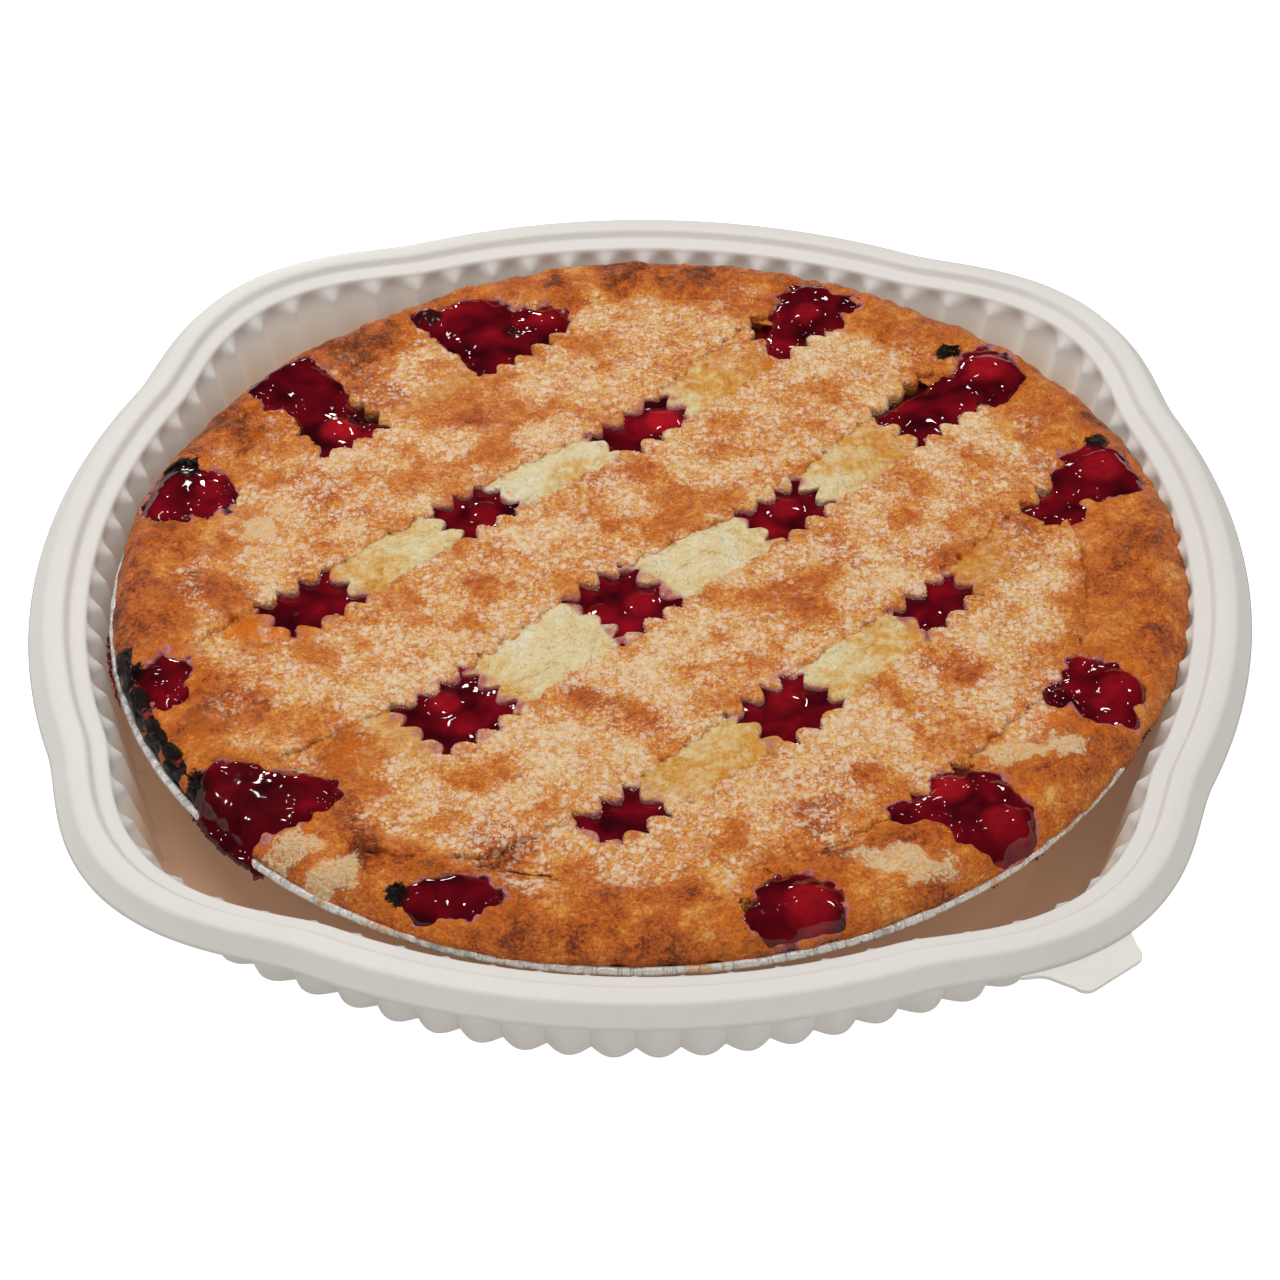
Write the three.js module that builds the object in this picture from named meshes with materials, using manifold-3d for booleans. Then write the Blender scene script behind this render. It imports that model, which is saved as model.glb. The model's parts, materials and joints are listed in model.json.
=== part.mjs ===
// A lattice-topped cherry pie, baked in a foil tin that stands in a fluted plastic tray.
// Units are millimetres. +Z is up, the origin is the middle of the tray's base on the table,
// +X and +Y point at the middles of two of the tray's four bowed sides.
import * as THREE from 'three';
import { mergeVertices } from 'three/addons/utils/BufferGeometryUtils.js';
import Module from 'manifold-3d';

const wasm = await Module();
wasm.setup();

const DEGREE = Math.PI / 180;
const TURN = 2 * Math.PI;
const GAP = 0.35; // clearance between touching pieces

// ---- driving dimensions -------------------------------------------------------------------

const TRAY = {
  sideArc: { centre: -26.2, radius: 170.9 }, // each bowed side, centred across the middle
  cornerArc: { centre: 107.3, radius: 50 }, // each rounded corner, centred on the diagonal
  cornerHalfWidth: 27.5 * DEGREE, // beyond this a corner's circle is out of reach
  blend: 8.4, // how softly side arcs run into corner arcs
  wall: 1.0,
  lipZ: 30.5, // the outer edge of the skirt that hangs from the crest
  crestOuterZ: 34.7,
  crestInnerZ: 34.9,
  ledgeZ: 32.7,
  flutedZ: 27.9, // below the crust that spills over the tin's rim
  floorRise: 1.5, // the floor's middle stands clear of the table
  flutes: 80,
  pointsPerFlute: 3,
  rimColumns: 120,
  footColumns: 80,
  floorColumns: 40,
};

// The tray's upper surface from its lip inwards: inset from the lip outline at the sides,
// further inset at the corners, height, flute depth (half of peak to valley) and columns.
const FLUTED = TRAY.flutes * TRAY.pointsPerFlute;
const TRAY_PROFILE = [
  { inset: 0, cornerInset: 0, z: TRAY.lipZ, flute: 0, columns: TRAY.rimColumns },
  { inset: 3.8, cornerInset: 0, z: TRAY.crestOuterZ, flute: 0, columns: TRAY.rimColumns },
  { inset: 8.6, cornerInset: 0, z: TRAY.crestInnerZ, flute: 0, columns: TRAY.rimColumns },
  { inset: 10.6, cornerInset: 0, z: TRAY.ledgeZ, flute: 0, columns: TRAY.rimColumns },
  { inset: 15.2, cornerInset: 0, z: TRAY.flutedZ, flute: 2.0, columns: FLUTED },
  { inset: 19.7, cornerInset: 5, z: 3.0, flute: 1.8, columns: FLUTED },
  { inset: 23.5, cornerInset: 5, z: TRAY.wall, flute: 0, columns: TRAY.footColumns },
  { inset: 36.0, cornerInset: 4, z: TRAY.wall, flute: 0, columns: TRAY.floorColumns },
  { inset: 41.0, cornerInset: 4, z: TRAY.wall + TRAY.floorRise, flute: 0, columns: TRAY.floorColumns },
];
const TRAY_FLOOR_Z = TRAY.wall + TRAY.floorRise;

const TAB = {
  angle: -49.3 * DEGREE,
  rootWidth: 27,
  tipWidth: 18.4,
  reach: 7.5,
  corner: 3,
  flare: 0.35, // share of the reach over which it narrows from root to tip
  bite: 1.2, // how far it runs into the lip
};

const TIN = {
  rimRadius: 127, // a ten inch pan across its rolled rim
  rimZ: 28.4,
  rimWidth: 3,
  rimHeight: 2,
  rimUnder: 2.5, // width of the rim's flat underside
  rimCorner: 0.5,
  rimRound: 0.8,
  rimDrop: 1.1, // how far the rim's inner edge lies below its top
  wall: 0.5,
  baseRadius: 100.7,
  baseZ: TRAY_FLOOR_Z + GAP,
  columns: 60,
};

const CRUST = {
  columns: TIN.columns,
  floor: 4.6, // thickness of the base crust
  floorRadius: 96,
  ledgeRadius: 104.4, // where the strips' ends rest on the crust
  ledgeZ: 29.8,
  shoulderRadius: 108.2, // where the strips end against the raised edge
  shoulderZ: 34.6,
  humpRadius: 117.5,
  humpZ: 35.5,
  edgeRadius: 125.2,
  edgeZ: 30.9,
  edgeHeight: 2, // height of the steep outer edge below the hump
  edgeLean: 0.9,
  edgeUndercut: 1,
  overhang: 5.0, // how far the edge spills out over the rim where it rose most
  overhangAngle: 12 * DEGREE,
  overhangSpread: 42 * DEGREE,
  overhangRise: 1.8, // lifts the spilled edge clear of the tray's ledge
  overhangTipRise: 0.4,
  shrink: 3.2, // how far it drew back from the rim where it shrank most
  shrinkAngle: 133 * DEGREE,
  shrinkSpread: 24 * DEGREE,
  waviness: 0.7, // of the outer edge; the hump wanders and undulates too
  humpWander: 1.2,
  humpWave: 0.6,
  edgeWave: 0.3,
};

const FILLING = {
  columns: 32,
  edgeZ: 29.7,
  dome: 1.0, // how much higher the middle of the pie stands than its edge
  ridgeHeight: 2.4, // filling that wells up between the lower strips
  ridgeStations: [-120, -50, 0, 50, 120],
  cherryRadius: 6.5,
  cherryFlatness: 0.6,
};

const LATTICE = {
  angle: 46.2 * DEGREE, // direction of the upper strips from +X
  skew: 2.6 * DEGREE, // how far the lower strips miss being square to the upper ones
  upperCentres: [-66.5, -17, 32, 81],
  upperWidth: 36.5,
  upperThickness: 2.6,
  lowerCentres: [-87.5, -37.5, 13, 64],
  lowerWidth: 32,
  lowerThickness: 2.2,
  toothPitch: 6.5,
  toothDepth: 2.4,
};

// Where juice and cherries burst out round the edge: ranges along the upper strips (u) and
// along the lower strips (v), with how high each pool stands and its cherries as [u, v].
const POOLS = [
  { u: [24, 53], v: [-114, -82], swell: 2.2, cherries: [[36, -99]] },
  { u: [-27, -8], v: [-119, -82], swell: 2.2, cherries: [[-18, -106]] },
  { u: [-71, -55], v: [-106, -82], swell: 1.4, cherries: [[-64, -96]] },
  { u: [-114, -91], v: [-54, -44], swell: 1.0, cherries: [] },
  { u: [-126, -99], v: [-12, 11], swell: 1.6, cherries: [[-113, 0]] },
  { u: [-116, -89], v: [43, 57], swell: 1.4, cherries: [] },
  { u: [-60, -42], v: [84, 112], swell: 2.0, cherries: [[-52, 103]] },
  { u: [-21, 7], v: [98, 125], swell: 2.2, cherries: [[-5, 113]] },
  { u: [38, 56], v: [90, 115], swell: 2.0, cherries: [[47, 106]] },
  { u: [84, 115], v: [46, 58], swell: 1.4, cherries: [[103, 53]] },
  { u: [83, 123], v: [-7, 14], swell: 2.0, cherries: [[106, 4]] },
  { u: [84, 114], v: [-53, -36], swell: 1.6, cherries: [[101, -45]] },
];
const POOL = {
  columns: 10,
  squareness: 2.8,
  innerZ: 29.3,
  outerZ: 31.0,
  innerR: 112,
  outerR: 121,
  topZ: 33.5,
  sideDrop: 1, // how far below topZ its sides start to lean in
  crown: 0.7, // share of its width and swell where the crown begins
};

// ---- solids from rings --------------------------------------------------------------------

/** A mesh geometry from a list of points [x, y, z] and triangles of indices. */
function geometryFrom(points, triangles) {
  const geometry = new THREE.BufferGeometry();
  geometry.setAttribute('position', new THREE.Float32BufferAttribute(points.flat(), 3));
  geometry.setIndex(triangles.flat());
  return geometry;
}

/**
 * A closed solid from rings of points that run from a pole under it, outwards, up and back
 * to a pole on top. Each ring goes counterclockwise seen from above. Neighbouring rings may
 * differ in size by a whole factor.
 */
function ringSolid(bottomPole, rings, topPole) {
  const points = [bottomPole];
  const starts = [];
  for (const ring of rings) {
    starts.push(points.length);
    points.push(...ring);
  }
  points.push(topPole);
  const top = points.length - 1;
  const at = (k, i) => starts[k] + (i % rings[k].length);
  const triangles = [];
  const last = rings.length - 1;
  for (let i = 0; i < rings[0].length; i += 1) {
    triangles.push([0, at(0, i + 1), at(0, i)]);
  }
  for (let k = 0; k < last; k += 1) {
    const inner = rings[k].length;
    const outer = rings[k + 1].length;
    const coarse = Math.min(inner, outer);
    for (let i = 0; i < coarse; i += 1) {
      stitch(triangles, (j) => at(k, j), inner / coarse, (j) => at(k + 1, j), outer / coarse, i);
    }
  }
  for (let i = 0; i < rings[last].length; i += 1) {
    triangles.push([top, at(last, i), at(last, i + 1)]);
  }
  return geometryFrom(points, triangles);
}

/** The triangles between one step of ring a (stepA points) and one of ring b (stepB points). */
function stitch(triangles, a, stepA, b, stepB, index) {
  let i = index * stepA;
  let j = index * stepB;
  const endI = i + stepA;
  const endJ = j + stepB;
  while (i < endI || j < endJ) {
    const leftI = (endI - i) / stepA;
    const leftJ = (endJ - j) / stepB;
    if (leftI >= leftJ) {
      triangles.push([a(i), a(i + 1), b(j)]);
      i += 1;
    } else {
      triangles.push([a(i), b(j + 1), b(j)]);
      j += 1;
    }
  }
}

/** A ring of points at the radius and height that functions give for each angle. */
function ring(columns, radiusAt, heightAt, startAngle = 0) {
  return Array.from({ length: columns }, (_, i) => {
    const angle = startAngle + (i * TURN) / columns;
    const radius = radiusAt(angle);
    return [radius * Math.cos(angle), radius * Math.sin(angle), heightAt(angle)];
  });
}

/** A manifold solid from a three.js geometry. */
function solid(geometry) {
  const bare = geometry.clone();
  bare.deleteAttribute('normal');
  bare.deleteAttribute('uv');
  const merged = mergeVertices(bare, 1e-5);
  return new wasm.Manifold(new wasm.Mesh({
    numProp: 3,
    vertProperties: new Float32Array(merged.attributes.position.array),
    triVerts: new Uint32Array(merged.index.array),
  }));
}

/** A three.js geometry from a manifold solid. */
function geometryOf(manifold) {
  const mesh = manifold.getMesh();
  const geometry = new THREE.BufferGeometry();
  geometry.setAttribute('position', new THREE.BufferAttribute(mesh.vertProperties, 3));
  geometry.setIndex(new THREE.BufferAttribute(mesh.triVerts, 1));
  return geometry;
}

const joined = (first, others) => others.reduce((sum, other) => sum.add(other), first);
const cut = (first, others) => others.reduce((rest, other) => rest.subtract(other), first);

/** An upright round plug that trims strips to a circle. */
function trimmingDisc(radius, columns) {
  const height = 40;
  const disc = new THREE.CylinderGeometry(radius, radius, height, columns);
  disc.rotateX(Math.PI / 2);
  disc.translate(0, 0, FILLING.edgeZ);
  return solid(disc);
}

// ---- tray ---------------------------------------------------------------------------------

/** Distance from the origin to an arc whose centre lies on the ray at angle zero. */
function arcDistance(angle, arc) {
  const offset = arc.centre * Math.sin(angle);
  return arc.centre * Math.cos(angle) + Math.sqrt(arc.radius ** 2 - offset ** 2);
}

/** Radius of the tray's lip: bowed sides that swell into round corners. */
function lipRadius(angle) {
  const quarter = Math.PI / 2;
  const wrap = (a) => ((a % quarter) + quarter) % quarter;
  const fromSide = wrap(angle + quarter / 2) - quarter / 2;
  const fromCorner = wrap(angle) - quarter / 2;
  const side = arcDistance(fromSide, TRAY.sideArc);
  if (Math.abs(fromCorner) > TRAY.cornerHalfWidth) {
    return side;
  }
  const corner = arcDistance(fromCorner, TRAY.cornerArc);
  const near = Math.max(TRAY.blend - Math.abs(side - corner), 0) / TRAY.blend;
  return Math.max(side, corner) + (near * near * TRAY.blend) / 4;
}

/** 0 at the middle of a side, 1 on a corner. */
function cornerShare(angle) {
  const low = lipRadius(0);
  return (lipRadius(angle) - low) / (lipRadius(Math.PI / 4) - low);
}

/** Flute wave: 1 in each round pocket, falling to -1 at the cusps that point inwards. */
const fluteWave = (angle) => 2 * Math.abs(Math.cos((angle * TRAY.flutes) / 2)) - 1;

function trayRing(station) {
  const radiusAt = (angle) => lipRadius(angle) - station.inset
    - station.cornerInset * cornerShare(angle) + station.flute * fluteWave(angle);
  return ring(station.columns, radiusAt, () => station.z, TURN / FLUTED / 2);
}

/** The profile moved down and outwards by the sheet's thickness, with mitred bends. */
function undersideOf(profile) {
  const directions = profile.slice(1).map((next, k) => {
    const run = next.inset - profile[k].inset;
    const rise = next.z - profile[k].z;
    const length = Math.hypot(run, rise);
    return [run / length, rise / length];
  });
  return profile.map((station, k) => {
    const before = directions[Math.max(k - 1, 0)];
    const after = directions[k] ?? [1, 0];
    const normal = [before[1] + after[1], -(before[0] + after[0])];
    const scale = (2 * TRAY.wall) / (normal[0] ** 2 + normal[1] ** 2);
    return { ...station, inset: station.inset + normal[0] * scale, z: station.z + normal[1] * scale };
  });
}

/** The pull tab on one corner of the lip. */
function trayTab() {
  const outline = new THREE.Shape();
  const root = TAB.rootWidth / 2;
  const tip = TAB.tipWidth / 2;
  outline.moveTo(-TAB.bite, -root);
  outline.lineTo(0, -root);
  outline.quadraticCurveTo(TAB.reach * TAB.flare, -tip, TAB.reach - TAB.corner, -tip);
  outline.quadraticCurveTo(TAB.reach, -tip, TAB.reach, -tip + TAB.corner);
  outline.lineTo(TAB.reach, tip - TAB.corner);
  outline.quadraticCurveTo(TAB.reach, tip, TAB.reach - TAB.corner, tip);
  outline.quadraticCurveTo(TAB.reach * TAB.flare, tip, 0, root);
  outline.lineTo(-TAB.bite, root);
  const tab = new THREE.ExtrudeGeometry(outline, {
    depth: TRAY.wall,
    bevelEnabled: false,
    curveSegments: 2,
  });
  tab.translate(lipRadius(TAB.angle), 0, TRAY.lipZ - TRAY.wall);
  tab.rotateZ(TAB.angle);
  return tab;
}

function makeTray() {
  const underside = undersideOf(TRAY_PROFILE).reverse();
  const rings = [...underside, ...TRAY_PROFILE].map(trayRing);
  const floor = TRAY_FLOOR_Z;
  const sheet = ringSolid([0, 0, floor - TRAY.wall], rings, [0, 0, floor]);
  return geometryOf(solid(sheet).add(solid(trayTab())));
}

// ---- foil tin -----------------------------------------------------------------------------

function makeTin() {
  const rim = TIN.rimRadius;
  const z = TIN.rimZ;
  const profile = [
    [0, TIN.baseZ],
    [TIN.baseRadius, TIN.baseZ],
    [rim - TIN.rimUnder, z - TIN.rimHeight],
    [rim - TIN.rimCorner, z - TIN.rimHeight],
    [rim, z - TIN.rimHeight / 2],
    [rim - TIN.rimRound, z],
    [rim - TIN.rimWidth + TIN.rimRound, z],
    [rim - TIN.rimWidth, z - TIN.rimDrop],
    [TIN.baseRadius - TIN.wall, TIN.baseZ + TIN.wall],
    [0, TIN.baseZ + TIN.wall],
  ];
  return new THREE.LatheGeometry(profile.map(([r, h]) => new THREE.Vector2(r, h)), TIN.columns)
    .rotateX(Math.PI / 2);
}

// ---- crust --------------------------------------------------------------------------------

/** A slow uneven wave round the pie, about -1 to 1. */
function unevenness(angle) {
  return 0.5 * Math.sin(3 * angle + 0.7) + 0.35 * Math.sin(7 * angle + 2.1)
    + 0.25 * Math.sin(12 * angle + 4.0);
}

/** 1 at one angle round the pie, falling softly to 0 away from it. */
function swellAt(angle, middle, spread) {
  const away = Math.atan2(Math.sin(angle - middle), Math.cos(angle - middle));
  return Math.exp(-((away / spread) ** 2));
}

const spill = (angle) => swellAt(angle, CRUST.overhangAngle, CRUST.overhangSpread);

function makeCrust(poolRoom) {
  const wave = (amount) => (angle) => amount * unevenness(angle);
  const edge = (angle) => CRUST.edgeRadius + CRUST.overhang * spill(angle)
    - CRUST.shrink * swellAt(angle, CRUST.shrinkAngle, CRUST.shrinkSpread)
    + wave(CRUST.waviness)(angle);
  const wallGap = 1.4 * GAP; // the gap measured level across the slanting wall
  const tinWallTop = TIN.rimRadius - TIN.rimWidth - wallGap;
  const overRim = TIN.rimZ + GAP;
  const underEdge = (angle) => Math.min(edge(angle), TIN.rimRadius) - CRUST.edgeUndercut;
  const base = TIN.baseZ + TIN.wall + GAP;
  const rings = [
    ring(CRUST.columns, () => TIN.baseRadius - wallGap, () => base),
    ring(CRUST.columns, () => tinWallTop, () => TIN.rimZ - TIN.rimDrop),
    ring(CRUST.columns, () => tinWallTop + GAP, () => overRim),
    ring(CRUST.columns, underEdge, (a) => overRim + CRUST.overhangRise * spill(a)),
    ring(CRUST.columns, edge, (a) => CRUST.edgeZ + CRUST.overhangTipRise * spill(a)),
    ring(
      CRUST.columns,
      (a) => edge(a) - CRUST.edgeLean,
      (a) => CRUST.edgeZ + CRUST.edgeHeight + wave(CRUST.edgeWave)(a),
    ),
    ring(
      CRUST.columns,
      (a) => CRUST.humpRadius + wave(CRUST.humpWander)(a + 1),
      (a) => CRUST.humpZ + wave(CRUST.humpWave)(a),
    ),
    ring(CRUST.columns, () => CRUST.shoulderRadius, () => CRUST.shoulderZ),
    ring(CRUST.columns, () => CRUST.shoulderRadius, () => CRUST.ledgeZ),
    ring(CRUST.columns, () => CRUST.ledgeRadius, () => CRUST.ledgeZ),
    ring(CRUST.columns, () => CRUST.floorRadius, () => base + CRUST.floor),
  ];
  const shell = ringSolid([0, 0, base], rings, [0, 0, base + CRUST.floor]);
  return geometryOf(cut(solid(shell), poolRoom));
}

// ---- filling ------------------------------------------------------------------------------

/** Height of the filling's level under the strips, slightly domed. */
function fillingZ(x, y) {
  const share = Math.hypot(x, y) / CRUST.shoulderRadius;
  return FILLING.edgeZ + FILLING.dome * (1 - share * share);
}

/** The point at u along the upper strips and v across them. */
function latticePoint(u, v) {
  const c = Math.cos(LATTICE.angle);
  const s = Math.sin(LATTICE.angle);
  return [u * c + v * s, u * s - v * c];
}

/** How far the lower strips drift sideways at v, because they aren't square to the upper ones. */
const drift = (v) => v * Math.tan(LATTICE.skew);

/** Points on a pool's border, a rounded rectangle, grown by some room and then scaled. */
function poolBorder(pool, room, scale, heightAt) {
  const [u0, u1] = pool.u;
  const [v0, v1] = pool.v;
  const bend = (value) => Math.sign(value) * Math.abs(value) ** (2 / POOL.squareness);
  return Array.from({ length: POOL.columns }, (_, i) => {
    const angle = -(i * TURN) / POOL.columns;
    const u = (u0 + u1) / 2 + ((u1 - u0) / 2 + room) * scale * bend(Math.cos(angle));
    const v = (v0 + v1) / 2 + ((v1 - v0) / 2 + room) * scale * bend(Math.sin(angle));
    const [x, y] = latticePoint(u, v);
    return [x, y, heightAt(x, y)];
  });
}

/** Height of the crust's bed under a pool: it rises where the pool reaches over the tin's wall. */
function poolBedZ(x, y) {
  const share = (Math.hypot(x, y) - POOL.innerR) / (POOL.outerR - POOL.innerR);
  return POOL.innerZ + Math.min(Math.max(share, 0), 1) * (POOL.outerZ - POOL.innerZ);
}

const poolMiddle = (pool) => latticePoint((pool.u[0] + pool.u[1]) / 2, (pool.v[0] + pool.v[1]) / 2);

/** The upright space over a pool's bed, with some room round it. */
function poolSpace(pool, room) {
  const [x, y] = poolMiddle(pool);
  const openZ = CRUST.humpZ + 6;
  const bedZ = (px, py) => poolBedZ(px, py) - room;
  const rings = [poolBorder(pool, room, 1, bedZ), poolBorder(pool, room, 1, () => openZ)];
  return solid(ringSolid([x, y, bedZ(x, y)], rings, [x, y, openZ]));
}

/** A pool swells above its border like a lens, with its cherries standing out of it. */
function makePool(pool) {
  const [x, y] = poolMiddle(pool);
  const rings = [
    poolBorder(pool, 0, 1, poolBedZ),
    poolBorder(pool, 0, 1, () => POOL.topZ - POOL.sideDrop),
    poolBorder(pool, 0, POOL.crown, () => POOL.topZ + POOL.crown * pool.swell),
  ];
  const lens = solid(ringSolid([x, y, poolBedZ(x, y)], rings, [x, y, POOL.topZ + pool.swell]));
  const space = poolSpace(pool, 0);
  return joined(lens, pool.cherries.map((place) => cherry(place).intersect(space)));
}

/** A cherry that shows through its pool. */
function cherry([u, v]) {
  const ball = new THREE.SphereGeometry(FILLING.cherryRadius, 7, 4);
  const [x, y] = latticePoint(u, v);
  ball.scale(1, FILLING.cherryFlatness, 1);
  ball.rotateX(Math.PI / 2);
  ball.translate(x, y, POOL.topZ);
  return solid(ball);
}

/**
 * A band between two edges that run along the lattice. The edges are functions of the
 * distance along it; along picks whether the band runs along u or v.
 */
function band({ along, stations, low, high, bottomAt, topAt }) {
  const place = (s, across) => (along === 'u' ? latticePoint(s, across) : latticePoint(across, s));
  const sections = stations.map((s) => {
    const [a, b] = [low(s), high(s)].map((across) => place(s, across));
    return [[...a, bottomAt(...a)], [...a, topAt(...a)], [...b, topAt(...b)], [...b, bottomAt(...b)]];
  });
  const size = sections[0].length;
  const triangles = [];
  for (let k = 0; k + 1 < sections.length; k += 1) {
    for (let i = 0; i < size; i += 1) {
      const p = k * size + i;
      const q = k * size + ((i + 1) % size);
      triangles.push([p, q, q + size], [p, q + size, p + size]);
    }
  }
  const end = (sections.length - 1) * size;
  for (let i = 1; i + 1 < size; i += 1) {
    triangles.push([0, i + 1, i], [end, end + i, end + i + 1]);
  }
  const facing = along === 'u' ? triangles : triangles.map(([p, q, r]) => [p, r, q]);
  return solid(geometryFrom(sections.flat(), facing));
}

function makeFilling() {
  const base = TIN.baseZ + TIN.wall + GAP + CRUST.floor + GAP;
  const outer = CRUST.ledgeRadius - 2 * GAP;
  const middle = outer / 2;
  const level = (radius) => fillingZ(radius, 0);
  const body = ringSolid([0, 0, base], [
    ring(FILLING.columns, () => CRUST.floorRadius - 2 * GAP, () => base),
    ring(FILLING.columns, () => outer, () => level(outer)),
    ring(FILLING.columns, () => middle, () => level(middle)),
  ], [0, 0, level(0)]);
  const half = LATTICE.lowerWidth / 2 + LATTICE.toothDepth / 2 + 2 * GAP;
  const [first, beyond] = [FILLING.ridgeStations[0], FILLING.ridgeStations.at(-1)];
  const starts = [first, ...LATTICE.lowerCentres.map((centre) => centre + half)];
  const ends = [...LATTICE.lowerCentres.map((centre) => centre - half), beyond];
  const trim = trimmingDisc(outer - GAP, FILLING.columns);
  const ridges = starts.map((start, k) => band({
    along: 'v',
    stations: FILLING.ridgeStations,
    low: (v) => start + drift(v),
    high: (v) => ends[k] + drift(v),
    bottomAt: (x, y) => fillingZ(x, y) - 1,
    topAt: (x, y) => fillingZ(x, y) + FILLING.ridgeHeight,
  }).intersect(trim));
  return geometryOf(joined(solid(body), [...ridges, ...POOLS.map(makePool)]));
}

// ---- lattice strips -----------------------------------------------------------------------

const LOWER_UNDER = GAP;
const LOWER_TOP = LOWER_UNDER + LATTICE.lowerThickness;
const UPPER_UNDER = Math.max(LOWER_TOP, FILLING.ridgeHeight) + GAP;
const UPPER_TOP = UPPER_UNDER + LATTICE.upperThickness;

/** Stations at every tip and root of a pinked edge. */
function toothStations() {
  const half = LATTICE.toothPitch / 2;
  const count = Math.ceil((CRUST.shoulderRadius + 4) / half);
  return Array.from({ length: 2 * count + 1 }, (_, i) => (i - count) * half);
}

/** Pinked edge: steps out on even stations and in on odd ones. */
function tooth(s) {
  const index = Math.round(s / (LATTICE.toothPitch / 2));
  return (index % 2 === 0 ? 0.5 : -0.5) * LATTICE.toothDepth;
}

/** Whether the lower strips are covered at v by an upper strip. */
function covered(v) {
  const margin = LATTICE.upperWidth / 2 - LATTICE.toothPitch;
  return LATTICE.upperCentres.some((centre) => Math.abs(v - centre) < margin);
}

function makeUpperStrip(centre, trim, poolRoom) {
  const half = LATTICE.upperWidth / 2;
  const strip = band({
    along: 'u',
    stations: toothStations(),
    low: (u) => centre - half - tooth(u),
    high: (u) => centre + half + tooth(u),
    bottomAt: (x, y) => fillingZ(x, y) + UPPER_UNDER,
    topAt: (x, y) => fillingZ(x, y) + UPPER_TOP,
  });
  return geometryOf(cut(strip.intersect(trim), poolRoom));
}

function makeLowerStrip(centre, trim, poolRoom) {
  const half = LATTICE.lowerWidth / 2;
  const strip = band({
    along: 'v',
    stations: toothStations().filter((v) => !covered(v)),
    low: (v) => centre + drift(v) - half - tooth(v),
    high: (v) => centre + drift(v) + half + tooth(v),
    bottomAt: (x, y) => fillingZ(x, y) + LOWER_UNDER,
    topAt: (x, y) => fillingZ(x, y) + LOWER_TOP,
  });
  return geometryOf(cut(strip.intersect(trim), poolRoom));
}

// ---- materials and assembly ---------------------------------------------------------------

const creamPlastic = new THREE.MeshStandardMaterial({ color: 0xe4e0d5, roughness: 0.45, metalness: 0 });
const foil = new THREE.MeshStandardMaterial({ color: 0xc9c9c6, roughness: 0.3, metalness: 1 });
const edgeCrust = new THREE.MeshStandardMaterial({ color: 0xb5722e, roughness: 0.7, metalness: 0 });
const palePastry = new THREE.MeshStandardMaterial({ color: 0xe6cf98, roughness: 0.75, metalness: 0 });
const sugaredPastry = new THREE.MeshStandardMaterial({ color: 0xd9a468, roughness: 0.65, metalness: 0 });
const cherryGel = new THREE.MeshStandardMaterial({ color: 0x6b0a16, roughness: 0.12, metalness: 0 });

const pie = new THREE.Group();

function addPiece(name, geometry, material) {
  const piece = new THREE.Mesh(geometry, material);
  piece.name = name;
  pie.add(piece);
}

const poolRoom = POOLS.map((pool) => poolSpace(pool, GAP));
const stripTrim = trimmingDisc(CRUST.shoulderRadius - 1.5 * GAP, CRUST.columns);

addPiece('tray', makeTray(), creamPlastic);
addPiece('foil_tin', makeTin(), foil);
addPiece('bottom_crust', makeCrust(poolRoom), edgeCrust);
addPiece('cherry_filling', makeFilling(), cherryGel);
LATTICE.lowerCentres.forEach((centre, k) => {
  addPiece(`lower_strip_${k + 1}`, makeLowerStrip(centre, stripTrim, poolRoom), palePastry);
});
LATTICE.upperCentres.forEach((centre, k) => {
  addPiece(`upper_strip_${k + 1}`, makeUpperStrip(centre, stripTrim, poolRoom), sugaredPastry);
});

export default pie;
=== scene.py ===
"""Lattice-topped cherry pie in a rolled foil tin, standing in a cream fluted plastic tray.

The file is laid out as a Blender add-on and is run as a script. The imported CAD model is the
frame: +Z is up, the tray's middle is the origin, and Blender's unit is the metre. Places and
sizes in this file are in millimetres, and MM turns them into metres where a mesh is made.
"""
import json

import bpy
import numpy as np
from mathutils import Matrix, Vector

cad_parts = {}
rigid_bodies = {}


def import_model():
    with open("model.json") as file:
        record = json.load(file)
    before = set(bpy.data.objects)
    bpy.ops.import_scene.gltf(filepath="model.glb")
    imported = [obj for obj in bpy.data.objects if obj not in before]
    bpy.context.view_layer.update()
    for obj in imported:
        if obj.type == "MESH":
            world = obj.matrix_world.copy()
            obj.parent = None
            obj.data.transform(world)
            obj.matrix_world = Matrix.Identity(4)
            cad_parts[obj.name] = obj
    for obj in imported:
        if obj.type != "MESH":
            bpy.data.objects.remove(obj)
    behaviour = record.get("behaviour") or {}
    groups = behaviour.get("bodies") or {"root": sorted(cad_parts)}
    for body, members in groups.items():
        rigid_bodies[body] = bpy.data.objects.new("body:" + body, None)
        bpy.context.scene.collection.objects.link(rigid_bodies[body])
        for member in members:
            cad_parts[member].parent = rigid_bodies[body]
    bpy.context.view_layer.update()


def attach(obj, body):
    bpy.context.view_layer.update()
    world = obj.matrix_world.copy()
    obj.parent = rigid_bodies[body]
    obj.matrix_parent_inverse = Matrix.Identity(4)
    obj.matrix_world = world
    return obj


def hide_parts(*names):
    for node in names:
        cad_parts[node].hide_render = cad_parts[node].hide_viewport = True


bl_info = {
    "name": "Cherry Pie",
    "version": (1, 0, 0),
    "blender": (4, 5, 0),
    "location": "3D View > Sidebar > Pie",
    "description": "Builds a lattice-topped cherry pie in its foil tin and fluted tray",
    "category": "Add Mesh",
}

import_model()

MM = 0.001
TURN = 2 * np.pi
BODY = "root"


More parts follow.
